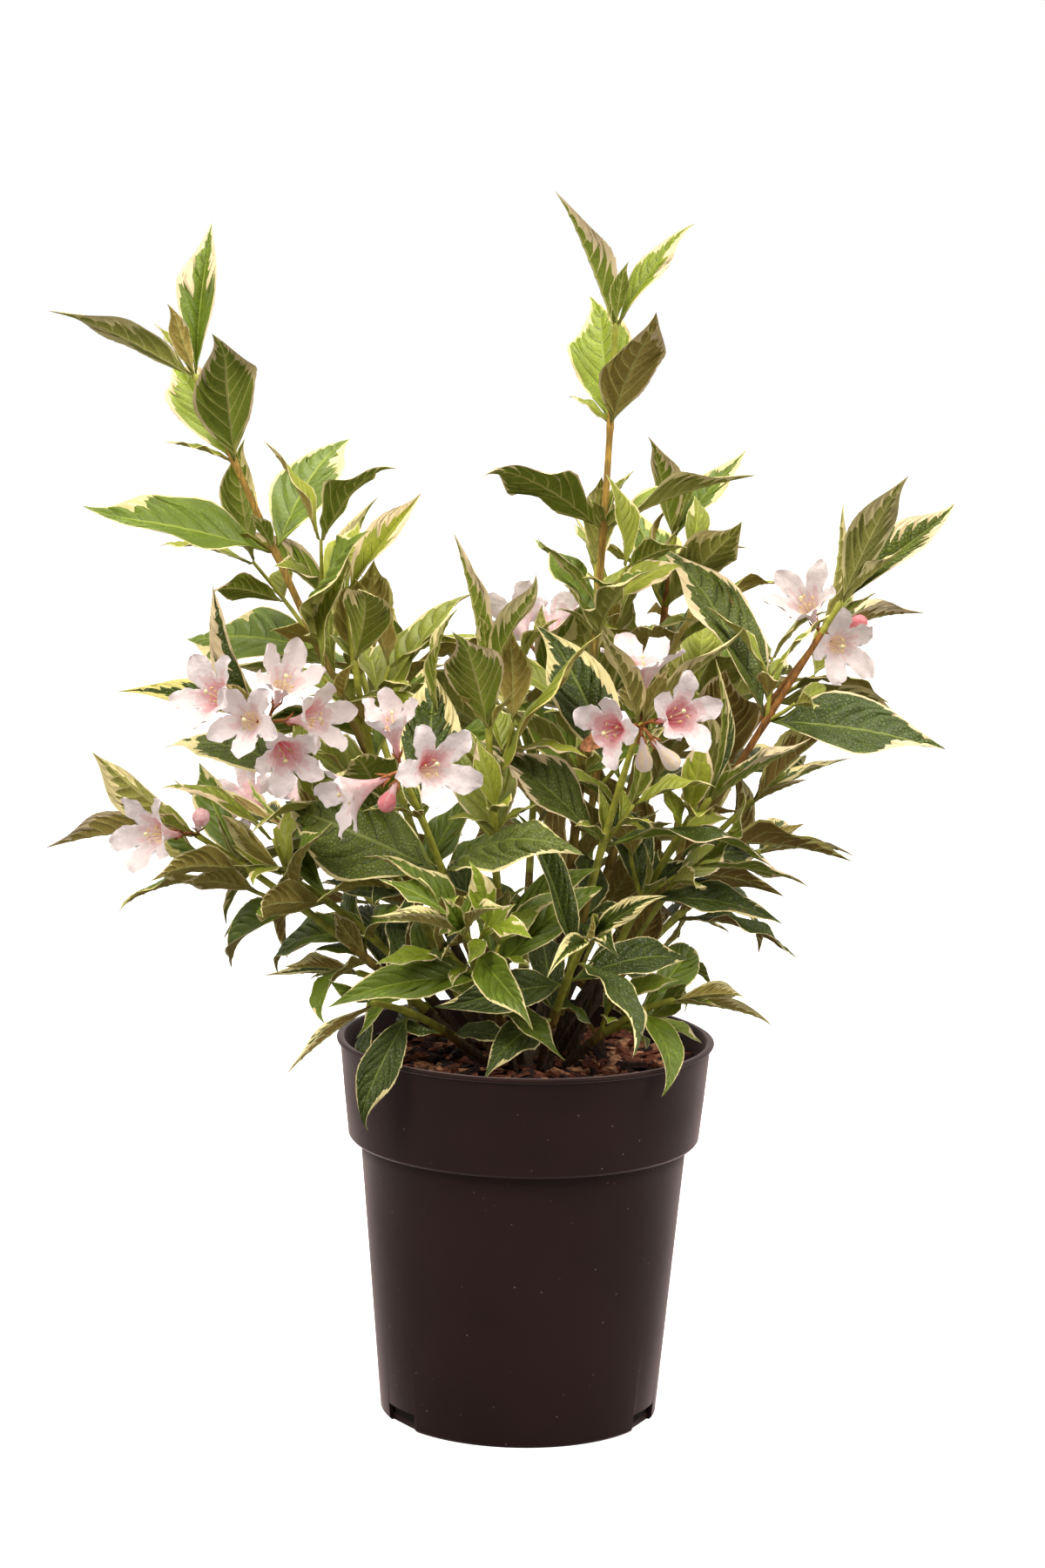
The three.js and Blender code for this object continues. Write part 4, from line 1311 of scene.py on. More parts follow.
class WEIGELA_OT_canes(bpy.types.Operator):
    """Grows the stool, the bare canes with their bark, and the stems and twigs among the leaves"""

    bl_idname = "weigela.canes"
    bl_label = "Canes, stems and twigs"

    TAN = ("tall_right", "tall_left", "centre_back")
    RUSSET = ("right_leader", "mid_right", "right_bloom")
    LOW = ("low", "spray")
    # The first part of every stem is olive. Those that ripen stay so up to the first of these
    # shares of their length, then show their own bark, and are green beyond the second.
    OLIVE, RIPE, SOFT = 0.1, 0.62, 0.93
    # The stool's outline, as shares of its radius and rise.
    STOOL = ((1, 0.02), (0.95, 0.16), (0.84, 0.34), (0.72, 0.56), (0.58, 0.76), (0.4, 0.9),
             (0.2, 0.97))
    STOOL_SIDES, CANE_SIDES, STEM_SIDES, TWIG_SIDES = 40, 12, 9, 7
    TWIG_RINGS = 8
    CANE_SEED, TWIG_SEED, STOOL_SEED = 300, 700, 905
    # How far a cane reaches down into the stool, and a stem beyond its tip, in millimetres.
    ROOT, NIB = 5.5, 2.4
    # How far apart the rings of a cane and of a stem lie, in millimetres.
    CANE_STEP, STEM_STEP = 2.6, 4
    # Where a cane swells at its old joints, as shares of its bare length, by how much, and over
    # how many rings; then by how much a stem swells at its joints, and over how many millimetres.
    KNOTS, KNOT_SWELL, KNOT_SPAN = (0.3, 0.62, 0.9), 0.16, 1.3
    JOINT_SWELL, JOINT_SPAN = 0.24, 3.2

    def execute(self, context):
        colours = context.scene.weigela_colours
        plant = Plant.get()
        old = bark("old_bark", colours.old_wood, 0.6)
        tan = bark("tan_bark", colours.tan_stem, 0.8)
        ripe = bark("ripe_bark", colours.ripe_stem, 0.75)
        olive = bark("olive_bark", mixed(colours.green_stem, 0.5, colours.ripe_stem, 0.42), 0.8)
        green = leafy("green_stem", colours.green_stem, 0.5, 0.14, 5)
        self.stool(old)
        wood, stems = Heap(), Heap()
        for index, shoot in enumerate(plant.shoots):
            self.cane(wood, shoot, index)
            self.stem(stems, shoot)
        for order, twig in enumerate(plant.twigs):
            self.twig(stems, twig, order)
        canes = wood.piece("canes", [old, olive, green])
        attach(canes, "root")
        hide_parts(*[f"cane_{shoot.name}" for shoot in plant.shoots])
        shown = stems.piece("leafy_stems", [green, tan, ripe, olive])
        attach(shown, "root")
        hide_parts(*[f"foliage_{shoot.name}" for shoot in plant.shoots])
        return {"FINISHED"}

    def stool(self, finish):
        """A low mound with knots and a ragged top, from which the canes rise."""
        low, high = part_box("stool")
        draw, swing = stream(self.STOOL_SEED)
        lobes = [draw() * TAU for _ in range(3)]
        span, rise, foot = (high.x - low.x) / 2 / MM, (high.z - low.z) / MM, low.z / MM
        corners = []
        for out, up in self.STOOL:
            for angle in np.arange(self.STOOL_SIDES) / self.STOOL_SIDES * TAU:
                knots = 1 + 0.05 * math.sin(5 * angle + lobes[0]) \
                    + 0.04 * math.sin(9 * angle + lobes[1]) + swing(0.03)
                level = foot + rise * (up + 0.05 * math.sin(7 * angle + lobes[2]) * out)
                reach = span * out * knots
                corners.append((reach * math.cos(angle), reach * math.sin(angle), level))
        corners += [(0, 0, foot), (0, 0, high.z / MM)]
        heap = Heap()
        heap.add(corners, tube_faces(len(self.STOOL), self.STOOL_SIDES))
        piece = heap.piece("stool_wood", [finish])
        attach(piece, "root")
        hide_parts("stool")

    def cane(self, heap, shoot, index):
        """The bare part of a cane, ribbed and cracked, from under the chips to its foliage."""
        _, swing = stream(self.CANE_SEED + index)
        low = shoot.habit in self.LOW
        rings = max(12, int(shoot.bare_end * shoot.length / self.CANE_STEP))
        sides = self.CANE_SIDES
        shares = np.linspace(0, shoot.bare_end, rings)
        points = [shoot.at(0) - shoot.heading(0.02) * self.ROOT, *map(shoot.at, shares)]
        girth = np.array([shoot.radius(0) + 0.3, *shoot.radius(shares)])
        if low:
            girth *= np.interp(np.linspace(0, 1, rings + 1), [0, 0.75, 1], [0.78, 0.86, 1])
        for knot in self.KNOTS:
            spot = 1 + knot * (rings - 1)
            near = (np.arange(rings + 1) - spot) / self.KNOT_SPAN
            girth *= 1 + self.KNOT_SWELL * np.exp(-(near**2))
        ridge = np.ones((rings + 1, sides))
        ridge += 0.05 * np.cos(4 * np.arange(sides) / sides * TAU + index)
        ridge += np.array([[swing(0.05) for _ in range(sides)] for _ in range(rings + 1)])
        corners, faces = tube(points, girth, sides, ridge)
        heights = np.array([0, *shares / shoot.bare])[np.minimum(faces.min(axis=1) // sides, rings)]
        change = (2.0 if low else 0.45) + swing(0.15)
        young = 1 if shoot.name in self.TAN + self.RUSSET else 2
        heap.add(corners, faces, np.where(heights < change, 0, young))

    def stem(self, heap, shoot):
        """The leafy part of a stem, swollen at every joint."""
        start, sides = shoot.bare_end, self.STEM_SIDES
        rings = max(16, int((1 - start) * shoot.length / self.STEM_STEP))
        shares = np.linspace(start, 1, rings)
        girth = shoot.radius(shares) * 0.98
        for pair in range(shoot.pairs):
            near = (shares - shoot.pair_place(pair)) * shoot.length / self.JOINT_SPAN
            girth *= 1 + self.JOINT_SWELL * np.exp(-(near**2))
        bow = [*map(shoot.at, shares), shoot.tip + shoot.heading(1) * self.NIB]
        corners, faces = tube(bow, np.append(girth, 0.5), sides)
        ripe = 1 if shoot.name in self.TAN else 2 if shoot.name in self.RUSSET else 0
        heights = shares[np.minimum(faces.min(axis=1) // sides, rings - 1)]
        soft = (heights > self.SOFT) | (not ripe)
        parts = [heights < start + self.OLIVE, soft, heights > self.RIPE]
        heap.add(corners, faces, np.select(parts, [3, 0, ripe], 3))

    def twig(self, heap, twig, order):
        _, swing = stream(self.TWIG_SEED + order)
        way = twig["way"] * twig["reach"]
        east, north = cross_axes(twig["way"])
        sag = (east * swing(0.05) + north * swing(0.05)) * twig["reach"]
        points = [
            twig["base"] + way * share + sag * math.sin(math.pi * min(max(share, 0), 1))
            for share in np.linspace(-0.03, 1.02, self.TWIG_RINGS)]
        heap.add(*tube(points, np.linspace(1.35, 0.9, self.TWIG_RINGS), self.TWIG_SIDES))


class WEIGELA_OT_leaves(bpy.types.Operator):
    """Draws every leaf with its veins, its teeth and its broken cream margin"""

    bl_idname = "weigela.leaves"
    bl_label = "Leaves"

    # The most leaves in one piece.
    MOST = 88
    # For each look: the upper side, the margin and the underside, by their places in the finishes.
    LOOKS = ((0, 1, 2), (6, 1, 2), (0, 7, 8), (6, 7, 10), (0, 1, 8), (0, 9, 10), (0, 1, 10))
    # For each tone: roughness, gloss, how deep its puckers are and their size, the depth also
    # setting how dark the painted shade in the net between them is; then how much paler some of its
    # leaves are, and how bronze the underside of others.
    TONES = {
        "dark": (0.38, 0.42, 1.5, 2.0, (1.27, 1.2, 1.1), (1.02, 0.85, 0.88)),
        "mid": (0.42, 0.4, 0.4, 2.4, (1.27, 1.2, 1.1), (1.08, 0.96, 1.04)),
        "young": (0.45, 0.35, 0.22, 2.6, (1.12, 1.1, 1.05), (1.08, 0.96, 1.04)),
    }

    def execute(self, context):
        colours = context.scene.weigela_colours
        plant = Plant.get()
        # The margins glow evenly: a painted glow that stands in for the light shining through them.
        cream, rosy, yellow = [
            leafy(f"{name}_margin", tinted(colours.margin, factors), 0.5, 0.05, glow=0.05)
            for name, factors in (
                ("cream", (1, 1, 1)), ("rosy", (0.98, 0.95, 1.04)), ("yellow", (0.93, 0.94, 0.78)))]
        vein = leafy("leaf_ribs", colours.vein, 0.5, 0.06)
        for tone in self.TONES:
            top, midrib, groove_shade, paler, under, green, bronze = self.skins(tone, colours)
            finishes = [
                top, cream, under, vein, midrib, groove_shade, paler, rosy, green, yellow, bronze]
            chosen = [leaf for leaf in plant.leaves if leaf["tone"] == tone]
            for part in range(0, len(chosen), self.MOST):
                heap = Heap()
                group = chosen[part:part + self.MOST]
                for grid, large in ((FULL_LEAF, True), (SMALL_LEAF, False)):
                    drawn = [leaf for leaf in group if (leaf["length"] >= SMALL_LENGTH) == large]
                    if drawn:
                        self.fill(heap, grid, drawn)
                piece = heap.piece(f"{tone}_leaves_{part // self.MOST + 1}", finishes)
                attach(piece, "root")
                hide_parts(*[f"foliage_{shoot.name}" for shoot in plant.shoots])
        return {"FINISHED"}

    def skins(self, tone, colours):
        """The finishes of one tone, apart from its margins and the ribs of its underside."""
        dull, gloss, wrinkle, net, pale, bronze = self.TONES[tone]
        colour = getattr(colours, f"{tone}_leaf")
        under = mixed(colours.underside, 0.76, colour, 0.24)
        yield leafy(f"{tone}_leaf", colour, dull, 0.14, 12, wrinkle, gloss, net)
        yield leafy(f"{tone}_midrib", mixed(colour, 0.8, colours.vein, 0.28), 0.5, 0.06)
        # Painted shade: the grooves over the side veins are the leaf colour darkened.
        yield leafy(f"{tone}_groove", shade(colour, 0.76), 0.5, 0.1)
        yield leafy(f"{tone}_leaf_paler", tinted(colour, pale), dull + 0.04, 0.12, 12, wrinkle,
                    gloss, net)
        # The undersides glow a little: a painted glow that stands in for the light shining through
        # them.
        for name, skin, mottle in (
            ("", under, 0.08),
            ("_green", mixed(under, 0.35, colours.mid_leaf, 0.65), 0.08),
            ("_bronze", tinted(under, bronze), 0.1),
        ):
            yield leafy(f"{tone}_underside{name}", skin, 0.6, mottle, 14, wrinkle=-0.6, glow=0.035)

    def fill(self, heap, grid, leaves):
        rims = [*grid.rim[1:].flat, *grid.tooth[1:].flat]
        for leaf, corners in zip(leaves, grid.draw(leaves)):
            finish_of = np.arange(6)
            finish_of[[grid.TOP, grid.MARGIN, grid.UNDER]] = self.LOOKS[leaf["look"]]
            heap.add(corners, grid.faces[:, :3], finish_of[grid.faces[:, 3]], rims)


class Flower:
    """One flower or bud beyond the tip of a shoot, drawn into a heap."""

    # The finishes: six tints from pale petal to deep pink, then the rest.
    TINTS = 6
    THROAT, FILAMENT, ANTHER, STIGMA, CALYX, WITHERED = range(6, 12)
    # Height in the tube and radius there, as it opens from its narrow foot to its wide mouth.
    TUBE = [(0.0, 1.3), (0.16, 1.5), (0.3, 1.9), (0.44, 2.8), (0.57, 3.9), (0.69, 5.2), (0.8, 6.5),
            (0.9, 7.9), (1.0, 9.3)]
    # Distance along a lobe and half its width there.
    LOBE = [(0.09, 5.75), (0.2, 6.1), (0.32, 6.5), (0.45, 6.65), (0.58, 6.45), (0.7, 5.7),
            (0.81, 4.4), (0.9, 2.9), (0.965, 1.4)]
    BUD = [(0, 1.2), (0.2, 1.4), (0.36, 2.0), (0.5, 3.0), (0.62, 3.9), (0.74, 4.4), (0.85, 4.25),
           (0.93, 3.3), (0.98, 1.8), (1.0, 0.5)]
    BUD_SIDES = 20
    LOBES, SPLIT = 5, 8
    AROUND = LOBES * SPLIT
    LOBE_STEPS = 40
    OPEN_LENGTH, BUD_LENGTH, SKIN = 22.0, 20.0, 0.3
    # How far the mouth of an open flower lies beyond its tube.
    FLARE = 2.5
    # How pink a flower is outside and a bud all over, for each flush, as places among the tints.
    OUTER_FLUSH, BUD_FLUSH = (1.7, 2.9, 3.8), (1.0, 2.4, 4.2)
    # How much of itself a withered lobe keeps.
    WITHERED_SIZE = 0.3

    def __init__(self, heap, shoot, flower, draw, swing):
        bearing, elevation, reach, self.opened, flush = flower
        self.heap, self.draw, self.swing, self.flush = heap, draw, swing, min(flush, 2)
        self.way = flower_way(bearing, elevation)
        east, north = cross_axes(self.way)
        turn = draw() * TAU
        self.east, self.north = swung(east, north, turn), swung(north, -east, turn)
        self.length = self.OPEN_LENGTH if self.opened else self.BUD_LENGTH
        gap = reach - self.length - (self.FLARE if self.opened else 0)
        self.start = shoot.tip + self.way * gap
        self.tube([
            shoot.tip - shoot.heading(1) * 1.5, shoot.tip + self.way * gap * 0.35 + UP * 0.6,
            shoot.tip + self.way * gap * 0.7 + UP * 0.5, self.start + self.way * 0.8,
        ], [0.9, 0.75, 1.0, 1.35], 8, self.CALYX)
        self.calyx()
        if self.opened:
            self.corolla(self.lowest() if flush > 2 else None)
            self.stamens()
        else:
            self.bud()

    def spot(self, along, radius, angle):
        return self.start + self.way * along + swung(self.east, self.north, angle) * radius

    def tube(self, points, radii, sides, finish):
        self.heap.add(*tube(points, radii, sides), finish)

    def tint(self, level):
        return min(max(round(level), 0), self.TINTS - 1)

    def middle_of(self, lobe):
        return (lobe + 0.5) / self.LOBES * TAU

    def calyx(self):
        """Five narrow sepals at the foot of the tube."""
        swing = self.swing
        for lobe in range(self.LOBES):
            angle = self.middle_of(lobe)
            root = self.spot(-0.5, 0.9, angle)
            middle = self.spot(2.9, 2.3 + swing(0.4), angle + swing(0.15))
            end = self.spot(5.8 + swing(1.2), 3.2 + swing(1.2), angle + swing(0.2))
            self.tube([root, middle, end], [0.7, 0.55, 0.12], 5, self.CALYX)

    def bud(self):
        """A closed bud, narrow below, full near its rounded end, with paler seams."""
        swing, (alongs, radii) = self.swing, np.array(self.BUD).T
        bow = (self.east * swing(1) + self.north * swing(1)) * 2.0
        points = [self.start + self.way * self.length * along + bow * along**2 for along in alongs]
        ridge = np.ones((len(alongs), self.BUD_SIDES))
        ridge[:, ::4] -= 0.08
        corners, faces = tube(points, radii, self.BUD_SIDES, ridge)
        least = faces.min(axis=1)
        heights = alongs[np.minimum(least // self.BUD_SIDES, len(alongs) - 1)]
        depth = self.BUD_FLUSH[self.flush]
        levels = depth * (0.45 + 0.55 * ramp(heights, 0.35, 0.3)) - (least % 4 == 0) * 0.8
        finish = [self.tint(level + swing(0.35)) for level in levels]
        if self.flush == 0:
            finish = [self.THROAT if height > 0.3 and mark == 1 else mark
                      for height, mark in zip(heights, finish)]
        self.heap.add(corners, faces, finish)

    def inside_level(self, depth, side):
        """How pink the inner skin is, from the foot of the tube (0) past its mouth (1) to the
        tips (2)."""
        if self.flush == 2:
            return 5.3 * math.exp(-((depth / 0.92) ** 2.3)) * (0.8 + 0.2 * side)
        if self.flush == 1:
            return (1.2 + 4.0 * side**4) * math.exp(-((depth / 0.97) ** 3.2))
        return 1.2 * math.exp(-((depth / 0.9) ** 2))

    def inner_finish(self, depth, k):
        side = (1 + math.cos(k / self.AROUND * TAU - self.blotch)) / 2
        level = self.inside_level(depth, side) + self.streaks[k] * (1 if depth < 1 else 0.7)
        return self.THROAT if level < 1.3 and depth < 0.72 and self.flush < 2 else self.tint(level)

    def outer_finish(self, depth, k):
        fade = max(0, 1 - 0.62 * depth) ** 1.1
        return self.tint(self.OUTER_FLUSH[self.flush] * fade + self.streaks[k])

    def corolla(self, withered):
        """The funnel and its five spreading lobes, with an inner skin and an outer one."""
        self.blotch = self.draw() * TAU
        self.streaks = [self.swing(0.5) for _ in range(self.AROUND)]
        self.corners, self.faces, self.finishes, self.rims = [], [], [], []
        self.funnel()
        for lobe in range(self.LOBES):
            self.lobe(lobe, lobe == withered)
        self.heap.add(self.corners, self.faces, self.finishes, self.rims)

    def skin(self, here, after, finish, inside):
        """The triangles between two rows of corners, without those that would be flat."""
        for k in range(len(here) - 1):
            a, b, c, d = here[k], here[k + 1], after[k + 1], after[k]
            for face in ((a, b, c), (a, c, d)):
                if len(set(face)) == 3:
                    self.faces.append(face[::-1] if inside else face)
                    self.finishes.append(finish(k))

    def funnel(self):
        """The corners and both skins of the tube, each skin from one point at its foot."""
        around, inner, outer = self.AROUND, [], []
        for along, radius in self.TUBE:
            wide = self.widened(radius)
            for angle in np.arange(around) / around * TAU:
                girth = wide * (1 + 0.07 * math.cos(self.LOBES * angle + math.pi) * along)
                inner.append(
                    self.spot(self.length * along + 0.25, max(girth - self.SKIN, 0.4), angle))
                outer.append(self.spot(self.length * along, girth, angle))
        self.outside = len(inner)
        self.corners += [*inner, *outer, self.spot(0.6, 0, 0), self.spot(-0.2, 0, 0)]
        depths = [0] + [(a[0] + b[0]) / 2 for a, b in zip(self.TUBE, self.TUBE[1:])]
        for inside, first, kind in (
            (True, 0, self.inner_finish), (False, self.outside, self.outer_finish)
        ):
            rings = [[first + row * around + k % around for k in range(around + 1)]
                     for row in range(len(self.TUBE))]
            foot = [2 * self.outside + (not inside)] * (around + 1)
            for depth, here, after in zip(depths, [foot, *rings], rings):
                self.skin(here, after, partial(kind, depth), inside)

    def widened(self, radius):
        """A radius of the tube, as wide as the flower has opened."""
        foot = self.TUBE[0][1]
        return foot + (radius - foot) * (0.6 + 0.4 * self.opened)

    def lobe(self, lobe, dry):
        """One lobe, sewn to the funnel's mouth: it closes at its tip, and its rim stays sharp."""
        columns, corners = self.SPLIT + 1, self.corners
        vigour = self.WITHERED_SIZE if dry else 1
        upper, under, tip = self.lobe_rows(self.middle_of(lobe), vigour)
        mouth = self.outside - self.AROUND
        top = [[mouth + (lobe * self.SPLIT + c) % self.AROUND for c in range(columns)]]
        low = [[self.outside + corner for corner in top[0]]]
        for up_row, low_row in zip(upper, under):
            first = len(corners)
            corners += [*up_row, *low_row[1:-1]]
            top.append(list(range(first, first + columns)))
            low.append([first, *range(first + columns, len(corners)), first + columns - 1])
            self.rims += [first, first + columns - 1]
        end = len(corners)
        corners.append(tip)
        self.rims.append(end)
        top.append([end] * columns)
        low.append([end] * columns)
        for row in range(len(top) - 1):
            plain = self.WITHERED if dry and row else 0 if row == len(self.LOBE) else None
            depth = 0.94 + self.LOBE[min(row, len(self.LOBE) - 1)][0]
            for rows, inside in ((top, True), (low, False)):
                finish = partial(self.lobe_finish, plain, depth, lobe * self.SPLIT, inside)
                self.skin(rows[row], rows[row + 1], finish, inside)
        self.faces += [(top[0][0], low[0][0], top[1][0]), (top[0][-1], top[1][-1], low[0][-1])]
        self.finishes += [0, 0]

    def lobe_finish(self, plain, depth, first, inside, column):
        """A lobe's finish: a plain one if given, or else the flush, which fades to its edges."""
        if plain is not None:
            return plain
        if not inside:
            return self.outer_finish(depth, first + column)
        edge = abs(column + 0.5 - self.SPLIT / 2) / (self.SPLIT / 2)
        return self.inner_finish(depth + 0.3 * edge, first + column)

    def lowest(self):
        """The lobe that hangs lowest, which withers first."""
        ends = [self.spot(0, 1, self.middle_of(lobe)) for lobe in range(self.LOBES)]
        return min(range(self.LOBES), key=lambda lobe: ends[lobe][2] + 0.8 * ends[lobe][0])

    def lobe_rows(self, angle, vigour):
        """One petal lobe as rows of points on both skins, and its tip: it leaves the mouth as the
        funnel does, spreads, and bends back towards its end."""
        opened, swing = self.opened, self.swing
        out, across = swung(self.east, self.north, angle), swung(self.north, -self.east, angle)
        reach = (15.2 + swing(1.8)) * (0.55 + 0.45 * opened) * (0.4 + 0.6 * vigour)
        mouth = self.widened(self.TUBE[-1][1])
        first = math.radians(34)
        last = math.radians((80 + swing(19)) * opened - 62 * (1 - opened))
        back = math.radians(34 + swing(46)) * opened
        bow, roll, crease, phase = swing(3.2), swing(0.5), 0.75 + swing(0.45), swing(3)
        frill = 1.15 + swing(0.5)
        girth = (1 + swing(0.13)) * (1 - 0.3 * (1 - opened)) * (0.3 + 0.7 * vigour)
        share = np.linspace(0, 1, self.LOBE_STEPS + 1)
        slope = first + (last - first) * share**0.75 + back * ramp(share, 0.5, 0.5) ** 1.5
        forward, outward = [
            np.concatenate([[0], np.cumsum(part(slope[1:]))]) * reach / self.LOBE_STEPS
            for part in (np.cos, np.sin)]

        def middle(v):
            return self.start + self.way * (self.length + np.interp(v, share, forward)) \
                + out * (mouth + np.interp(v, share, outward)) + across * bow * v * v

        upper, under = [], []
        x = np.arange(self.SPLIT + 1) / self.SPLIT * 2 - 1
        for v, half in self.LOBE:
            half *= 1 + (girth - 1) * min(1, v / 0.3)
            here = np.interp(v, share, slope)
            above = self.way * math.sin(here) - out * math.cos(here)
            side, over = swung(across, above, roll * v), swung(above, -across, roll * v)
            sag = mouth * (1 - math.cos(math.pi / self.LOBES)) * x * x * (1 - v) ** 2
            lift = 0.9 * x * x * v - crease * (1 - abs(x)) ** 2 * math.sin(math.pi * v)
            lift += frill * x * x * np.sin(v * 11 + phase + 2.6 * x) * min(1, v * 2)
            lift += 0.12 * np.sin(x * 9 + phase)
            ragged = 1 + 0.055 * np.sin(v * 19 + phase * (2 + x)) * min(1, v / 0.2)
            row = middle(v) + np.outer(x * half * ragged, side) - np.outer(sag, out) \
                + np.outer(lift, over)
            upper.append(row)
            under.append(row - over * self.SKIN)
        return upper, under, middle(1.0)

    def stamens(self):
        """Five thin stamens with their anthers, and a longer style with its round stigma."""
        start, way, length, swing = self.start, self.way, self.length, self.swing
        for k in range(self.LOBES):
            angle = k / self.LOBES * TAU + swing(0.3)
            head = self.spot(length * 0.93 + swing(2), 3.4 + swing(0.9), angle)
            self.tube([self.spot(length * 0.45, 1.5, angle), self.spot(length * 0.75, 2.6, angle),
                       head], [0.28, 0.26, 0.2], 5, self.FILAMENT)
            lean = unit(way + self.east * swing(1.2) + self.north * swing(1.2))
            self.tube([head + lean * step for step in (-1.3, -0.7, 0.7, 1.3)],
                      [0.15, 0.5, 0.5, 0.15], 6, self.ANTHER)
        bow = self.east * swing(1.6) + self.north * swing(1.6)
        top = start + way * (length + 3.5 + swing(1.5)) + bow
        self.tube([start + way * length * 0.4, start + way * length * 0.8 + bow * 0.35, top],
                  [0.3, 0.3, 0.3], 6, self.STIGMA)
        self.tube([top + way * step for step in (-0.5, 0, 0.7, 1.2)], [0.4, 1.05, 1.05, 0.4], 9,
                  self.STIGMA)


class WEIGELA_OT_flowers(bpy.types.Operator):
    """Opens the funnel flowers with their stamens, and sets the buds beside them"""

    bl_idname = "weigela.flowers"
    bl_label = "Flowers and buds"

    # A cluster's flowers take the seeds from this one on; clusters are this far apart.
    FIRST_SEED, SEEDS_APART = 11, 40
    CRIMSON = (0.60, 0.22, 0.20)
    ANTHERS = (0.87, 0.76, 0.54)
    DRY = (0.62, 0.42, 0.27)

    def execute(self, context):
        colours = context.scene.weigela_colours
        heap = Heap()
        for index, shoot in enumerate(Plant.get().shoots):
            for order, flower in enumerate(BLOOMS.get(shoot.name, [])):
                seed = self.FIRST_SEED + index * self.SEEDS_APART + order
                Flower(heap, shoot, flower, *stream(seed))
        # The last number given to each petal finish is its painted glow, which stands in for the
        # light shining through the petals and lifts their shade.
        tints = []
        for tint in range(Flower.TINTS):
            share = (tint / (Flower.TINTS - 1)) ** 1.25
            colour = mixed(colours.petal, 1 - share, colours.deep, share)
            tints.append(petal(f"petal_tint_{tint + 1}", colour, 0.3 - 0.02 * tint))
        piece = heap.piece("flowers", [
            *tints,
            petal("throat", colours.throat, 0.26),
            petal("filaments", mixed(colours.petal, 0.85, colours.deep, 0.15), 0.2),
            leafy("anthers", self.ANTHERS, 0.7, 0.1, 2),
            leafy("stigma", colours.stamen, 0.6, 0.04, 4),
            leafy("calyx", mixed(colours.green_stem, 0.42, self.CRIMSON, 0.58), 0.55, 0.25, 3),
            leafy("withered", self.DRY, 0.8, 0.3, 2),
        ])
        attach(piece, "root")
        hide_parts(*[f"foliage_{name}" for name in BLOOMS])
        return {"FINISHED"}


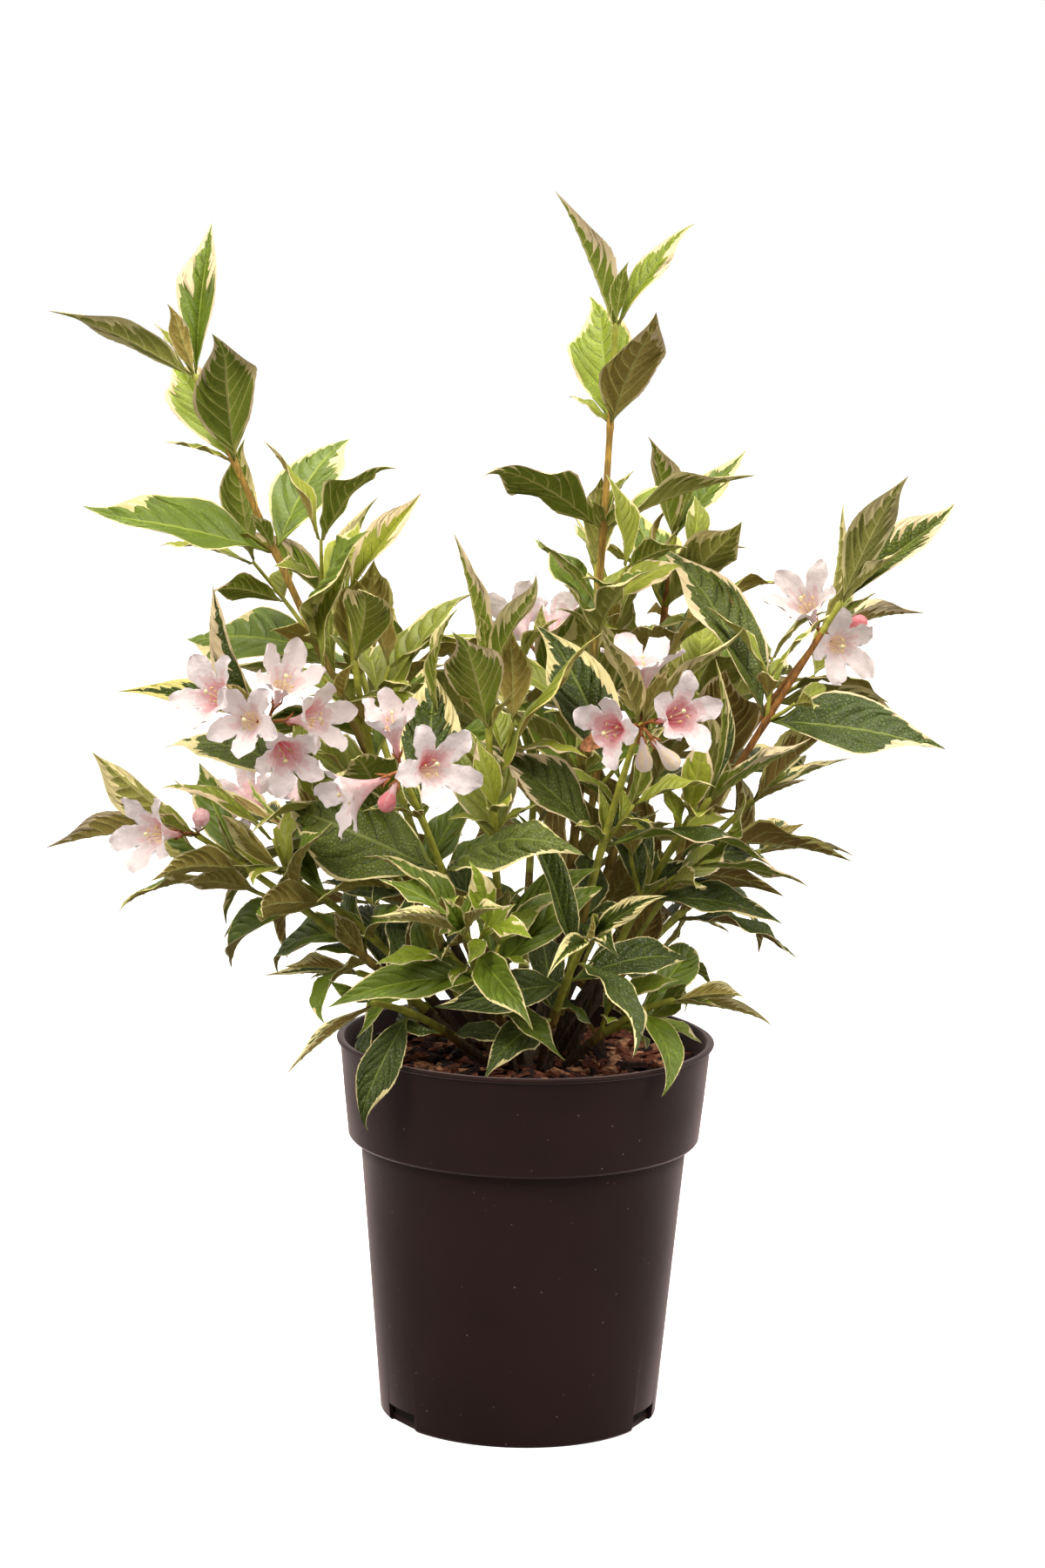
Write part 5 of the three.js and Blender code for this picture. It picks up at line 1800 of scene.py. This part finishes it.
class WEIGELA_OT_studio(bpy.types.Operator):
    """Sets the floor, the white surround, the lights and the camera"""

    bl_idname = "weigela.studio"
    bl_label = "Studio"

    FLOOR_HALF = 6.0
    # Each light: its spot, its size and its share of the key lights' power.
    LIGHTS = {
        "left_softbox": ((-1.5, -1.6, 2.0), 1.2, 1.0),
        "right_softbox": ((1.6, -1.3, 1.9), 1.2, 0.8),
        "top_softbox": ((0.0, 0.1, 2.5), 1.6, 1.0),
    }
    AIM = (0, 0, 0.32)
    WARM = (1.0, 0.955, 0.89)
    # The surround's colour as light, and how far towards the camera it is dimmest.
    SURROUND, FADE_START = (1, 0.97, 0.93, 1), -0.85
    CAMERA_SPOT, SENSOR, CLIP = (-0.0041, -2.1414, 0.6779), 36.0, (0.05, 60)
    # How far the camera looks down and leans over, in degrees.
    PITCH, ROLL = 9.444, 1.167

    def execute(self, context):
        setup = context.scene.weigela_studio
        self.floor(setup)
        self.surround(context, setup)
        for name, (spot, size, share) in self.LIGHTS.items():
            lamp = bpy.data.lights.new(name, "AREA")
            lamp.shape, lamp.size, lamp.energy = "SQUARE", size, setup.key * share
            lamp.color = self.WARM
            holder = self.hang(name, lamp)
            holder.location = spot
            aim = Vector(self.AIM) - Vector(spot)
            holder.rotation_euler = aim.to_track_quat("-Z", "Y").to_euler()
        context.scene.camera = self.camera(setup)
        context.scene.view_settings.view_transform = "Standard"
        context.scene.view_settings.look = "None"
        return {"FINISHED"}

    def hang(self, name, what):
        holder = bpy.data.objects.new(name, what)
        bpy.context.scene.collection.objects.link(holder)
        return holder

    def floor(self, setup):
        """A paper floor, which shows as lit from below as well, without casting that light on the
        plant: to the plant it gives only a part of what falls on it."""
        deselect()
        bpy.ops.mesh.primitive_plane_add(size=self.FLOOR_HALF * 2, location=(0, 0, 0))
        piece = bpy.context.object
        piece.name = "floor"
        paper = Finish("floor_paper", setup.floor, 0.9, Specular_IOR_Level=0.1)
        paper.set(Base_Color=paper.blend(paper.noise(80, 2), shade(setup.floor, 0.99), setup.floor))
        seen = paper.node("ShaderNodeLightPath", {}, {}).outputs["Is Camera Ray"]
        lit = paper.node("ShaderNodeEmission", {}, {"Strength": setup.glow})
        both = paper.node(
            "ShaderNodeAddShader", {}, {0: paper.shader.outputs[0], 1: lit.outputs[0]})
        dull = paper.node("ShaderNodeBsdfDiffuse", {}, {"Color": linear([setup.bounce] * 3)})
        mix = paper.node(
            "ShaderNodeMixShader", {}, {"Fac": seen, 1: dull.outputs[0], 2: both.outputs[0]})
        paper.feed(paper.tree.nodes["Material Output"].inputs["Surface"], mix.outputs[0])
        piece.data.materials.append(paper.material)

    def surround(self, context, setup):
        """A white surround that dims towards the camera, so that dark plastic keeps its depth."""
        world = context.scene.world = bpy.data.worlds.new("surround")
        world.use_nodes = True
        made, background = Nodes(world.node_tree), world.node_tree.nodes["Background"]
        where = made.node("ShaderNodeTexCoord", {}, {}).outputs["Generated"]
        parts = made.node("ShaderNodeSeparateXYZ", {}, {0: where})
        fade = made.node("ShaderNodeMapRange", {}, {
            "Value": parts.outputs["Y"], "From Min": self.FADE_START, "From Max": 0.0,
            "To Min": setup.shade, "To Max": setup.sky})
        seen = made.node("ShaderNodeLightPath", {}, {}).outputs["Is Camera Ray"]
        strength = made.node(
            "ShaderNodeMath", dict(operation="MAXIMUM"), {0: fade.outputs[0], 1: seen})
        made.feed(background.inputs["Strength"], strength.outputs[0])
        made.feed(background.inputs["Color"], made.mix(seen, self.SURROUND, (1, 1, 1, 1)))

    def camera(self, setup):
        lens = bpy.data.cameras.new("camera")
        lens.lens, lens.sensor_width = setup.lens, self.SENSOR
        lens.clip_start, lens.clip_end = self.CLIP
        pitch, roll = math.radians(self.PITCH), math.radians(self.ROLL)
        ahead = Vector((0, math.cos(pitch), -math.sin(pitch)))
        right, up = Vector((1, 0, 0)), Vector((0, math.sin(pitch), math.cos(pitch)))
        turn = Matrix((swung(right, up, roll), swung(up, -right, roll), -ahead)).transposed()
        holder = self.hang("camera", lens)
        holder.matrix_world = Matrix.Translation(self.CAMERA_SPOT) @ turn.to_4x4()
        return holder


class WEIGELA_PT_panel(bpy.types.Panel):
    """Lists the pieces and their settings"""

    bl_idname = "WEIGELA_PT_panel"
    bl_label = "Weigela"
    bl_space_type = "VIEW_3D"
    bl_region_type = "UI"
    bl_category = "Weigela"

    def draw(self, context):
        for maker in MAKERS:
            self.layout.operator(maker.bl_idname)
        for key in SETTINGS:
            group = getattr(context.scene, key)
            box = self.layout.box()
            for name in group.__annotations__:
                box.prop(group, name)


MAKERS = (
    WEIGELA_OT_pot,
    WEIGELA_OT_mulch,
    WEIGELA_OT_canes,
    WEIGELA_OT_leaves,
    WEIGELA_OT_flowers,
    WEIGELA_OT_studio,
)
SETTINGS = {
    "weigela_pot": PotSizes,
    "weigela_mulch": MulchSizes,
    "weigela_colours": PlantColours,
    "weigela_studio": StudioSetup,
}


def register():
    for kind in (*SETTINGS.values(), *MAKERS, WEIGELA_PT_panel):
        bpy.utils.register_class(kind)
    for key, kind in SETTINGS.items():
        setattr(bpy.types.Scene, key, bpy.props.PointerProperty(type=kind))


def unregister():
    for key in SETTINGS:
        delattr(bpy.types.Scene, key)
    for kind in reversed((*SETTINGS.values(), *MAKERS, WEIGELA_PT_panel)):
        bpy.utils.unregister_class(kind)


def main():
    register()
    bpy.ops.weigela.pot()
    bpy.ops.weigela.mulch()
    bpy.ops.weigela.canes()
    bpy.ops.weigela.leaves()
    bpy.ops.weigela.flowers()
    bpy.ops.weigela.studio()


if __name__ == "__main__":
    main()
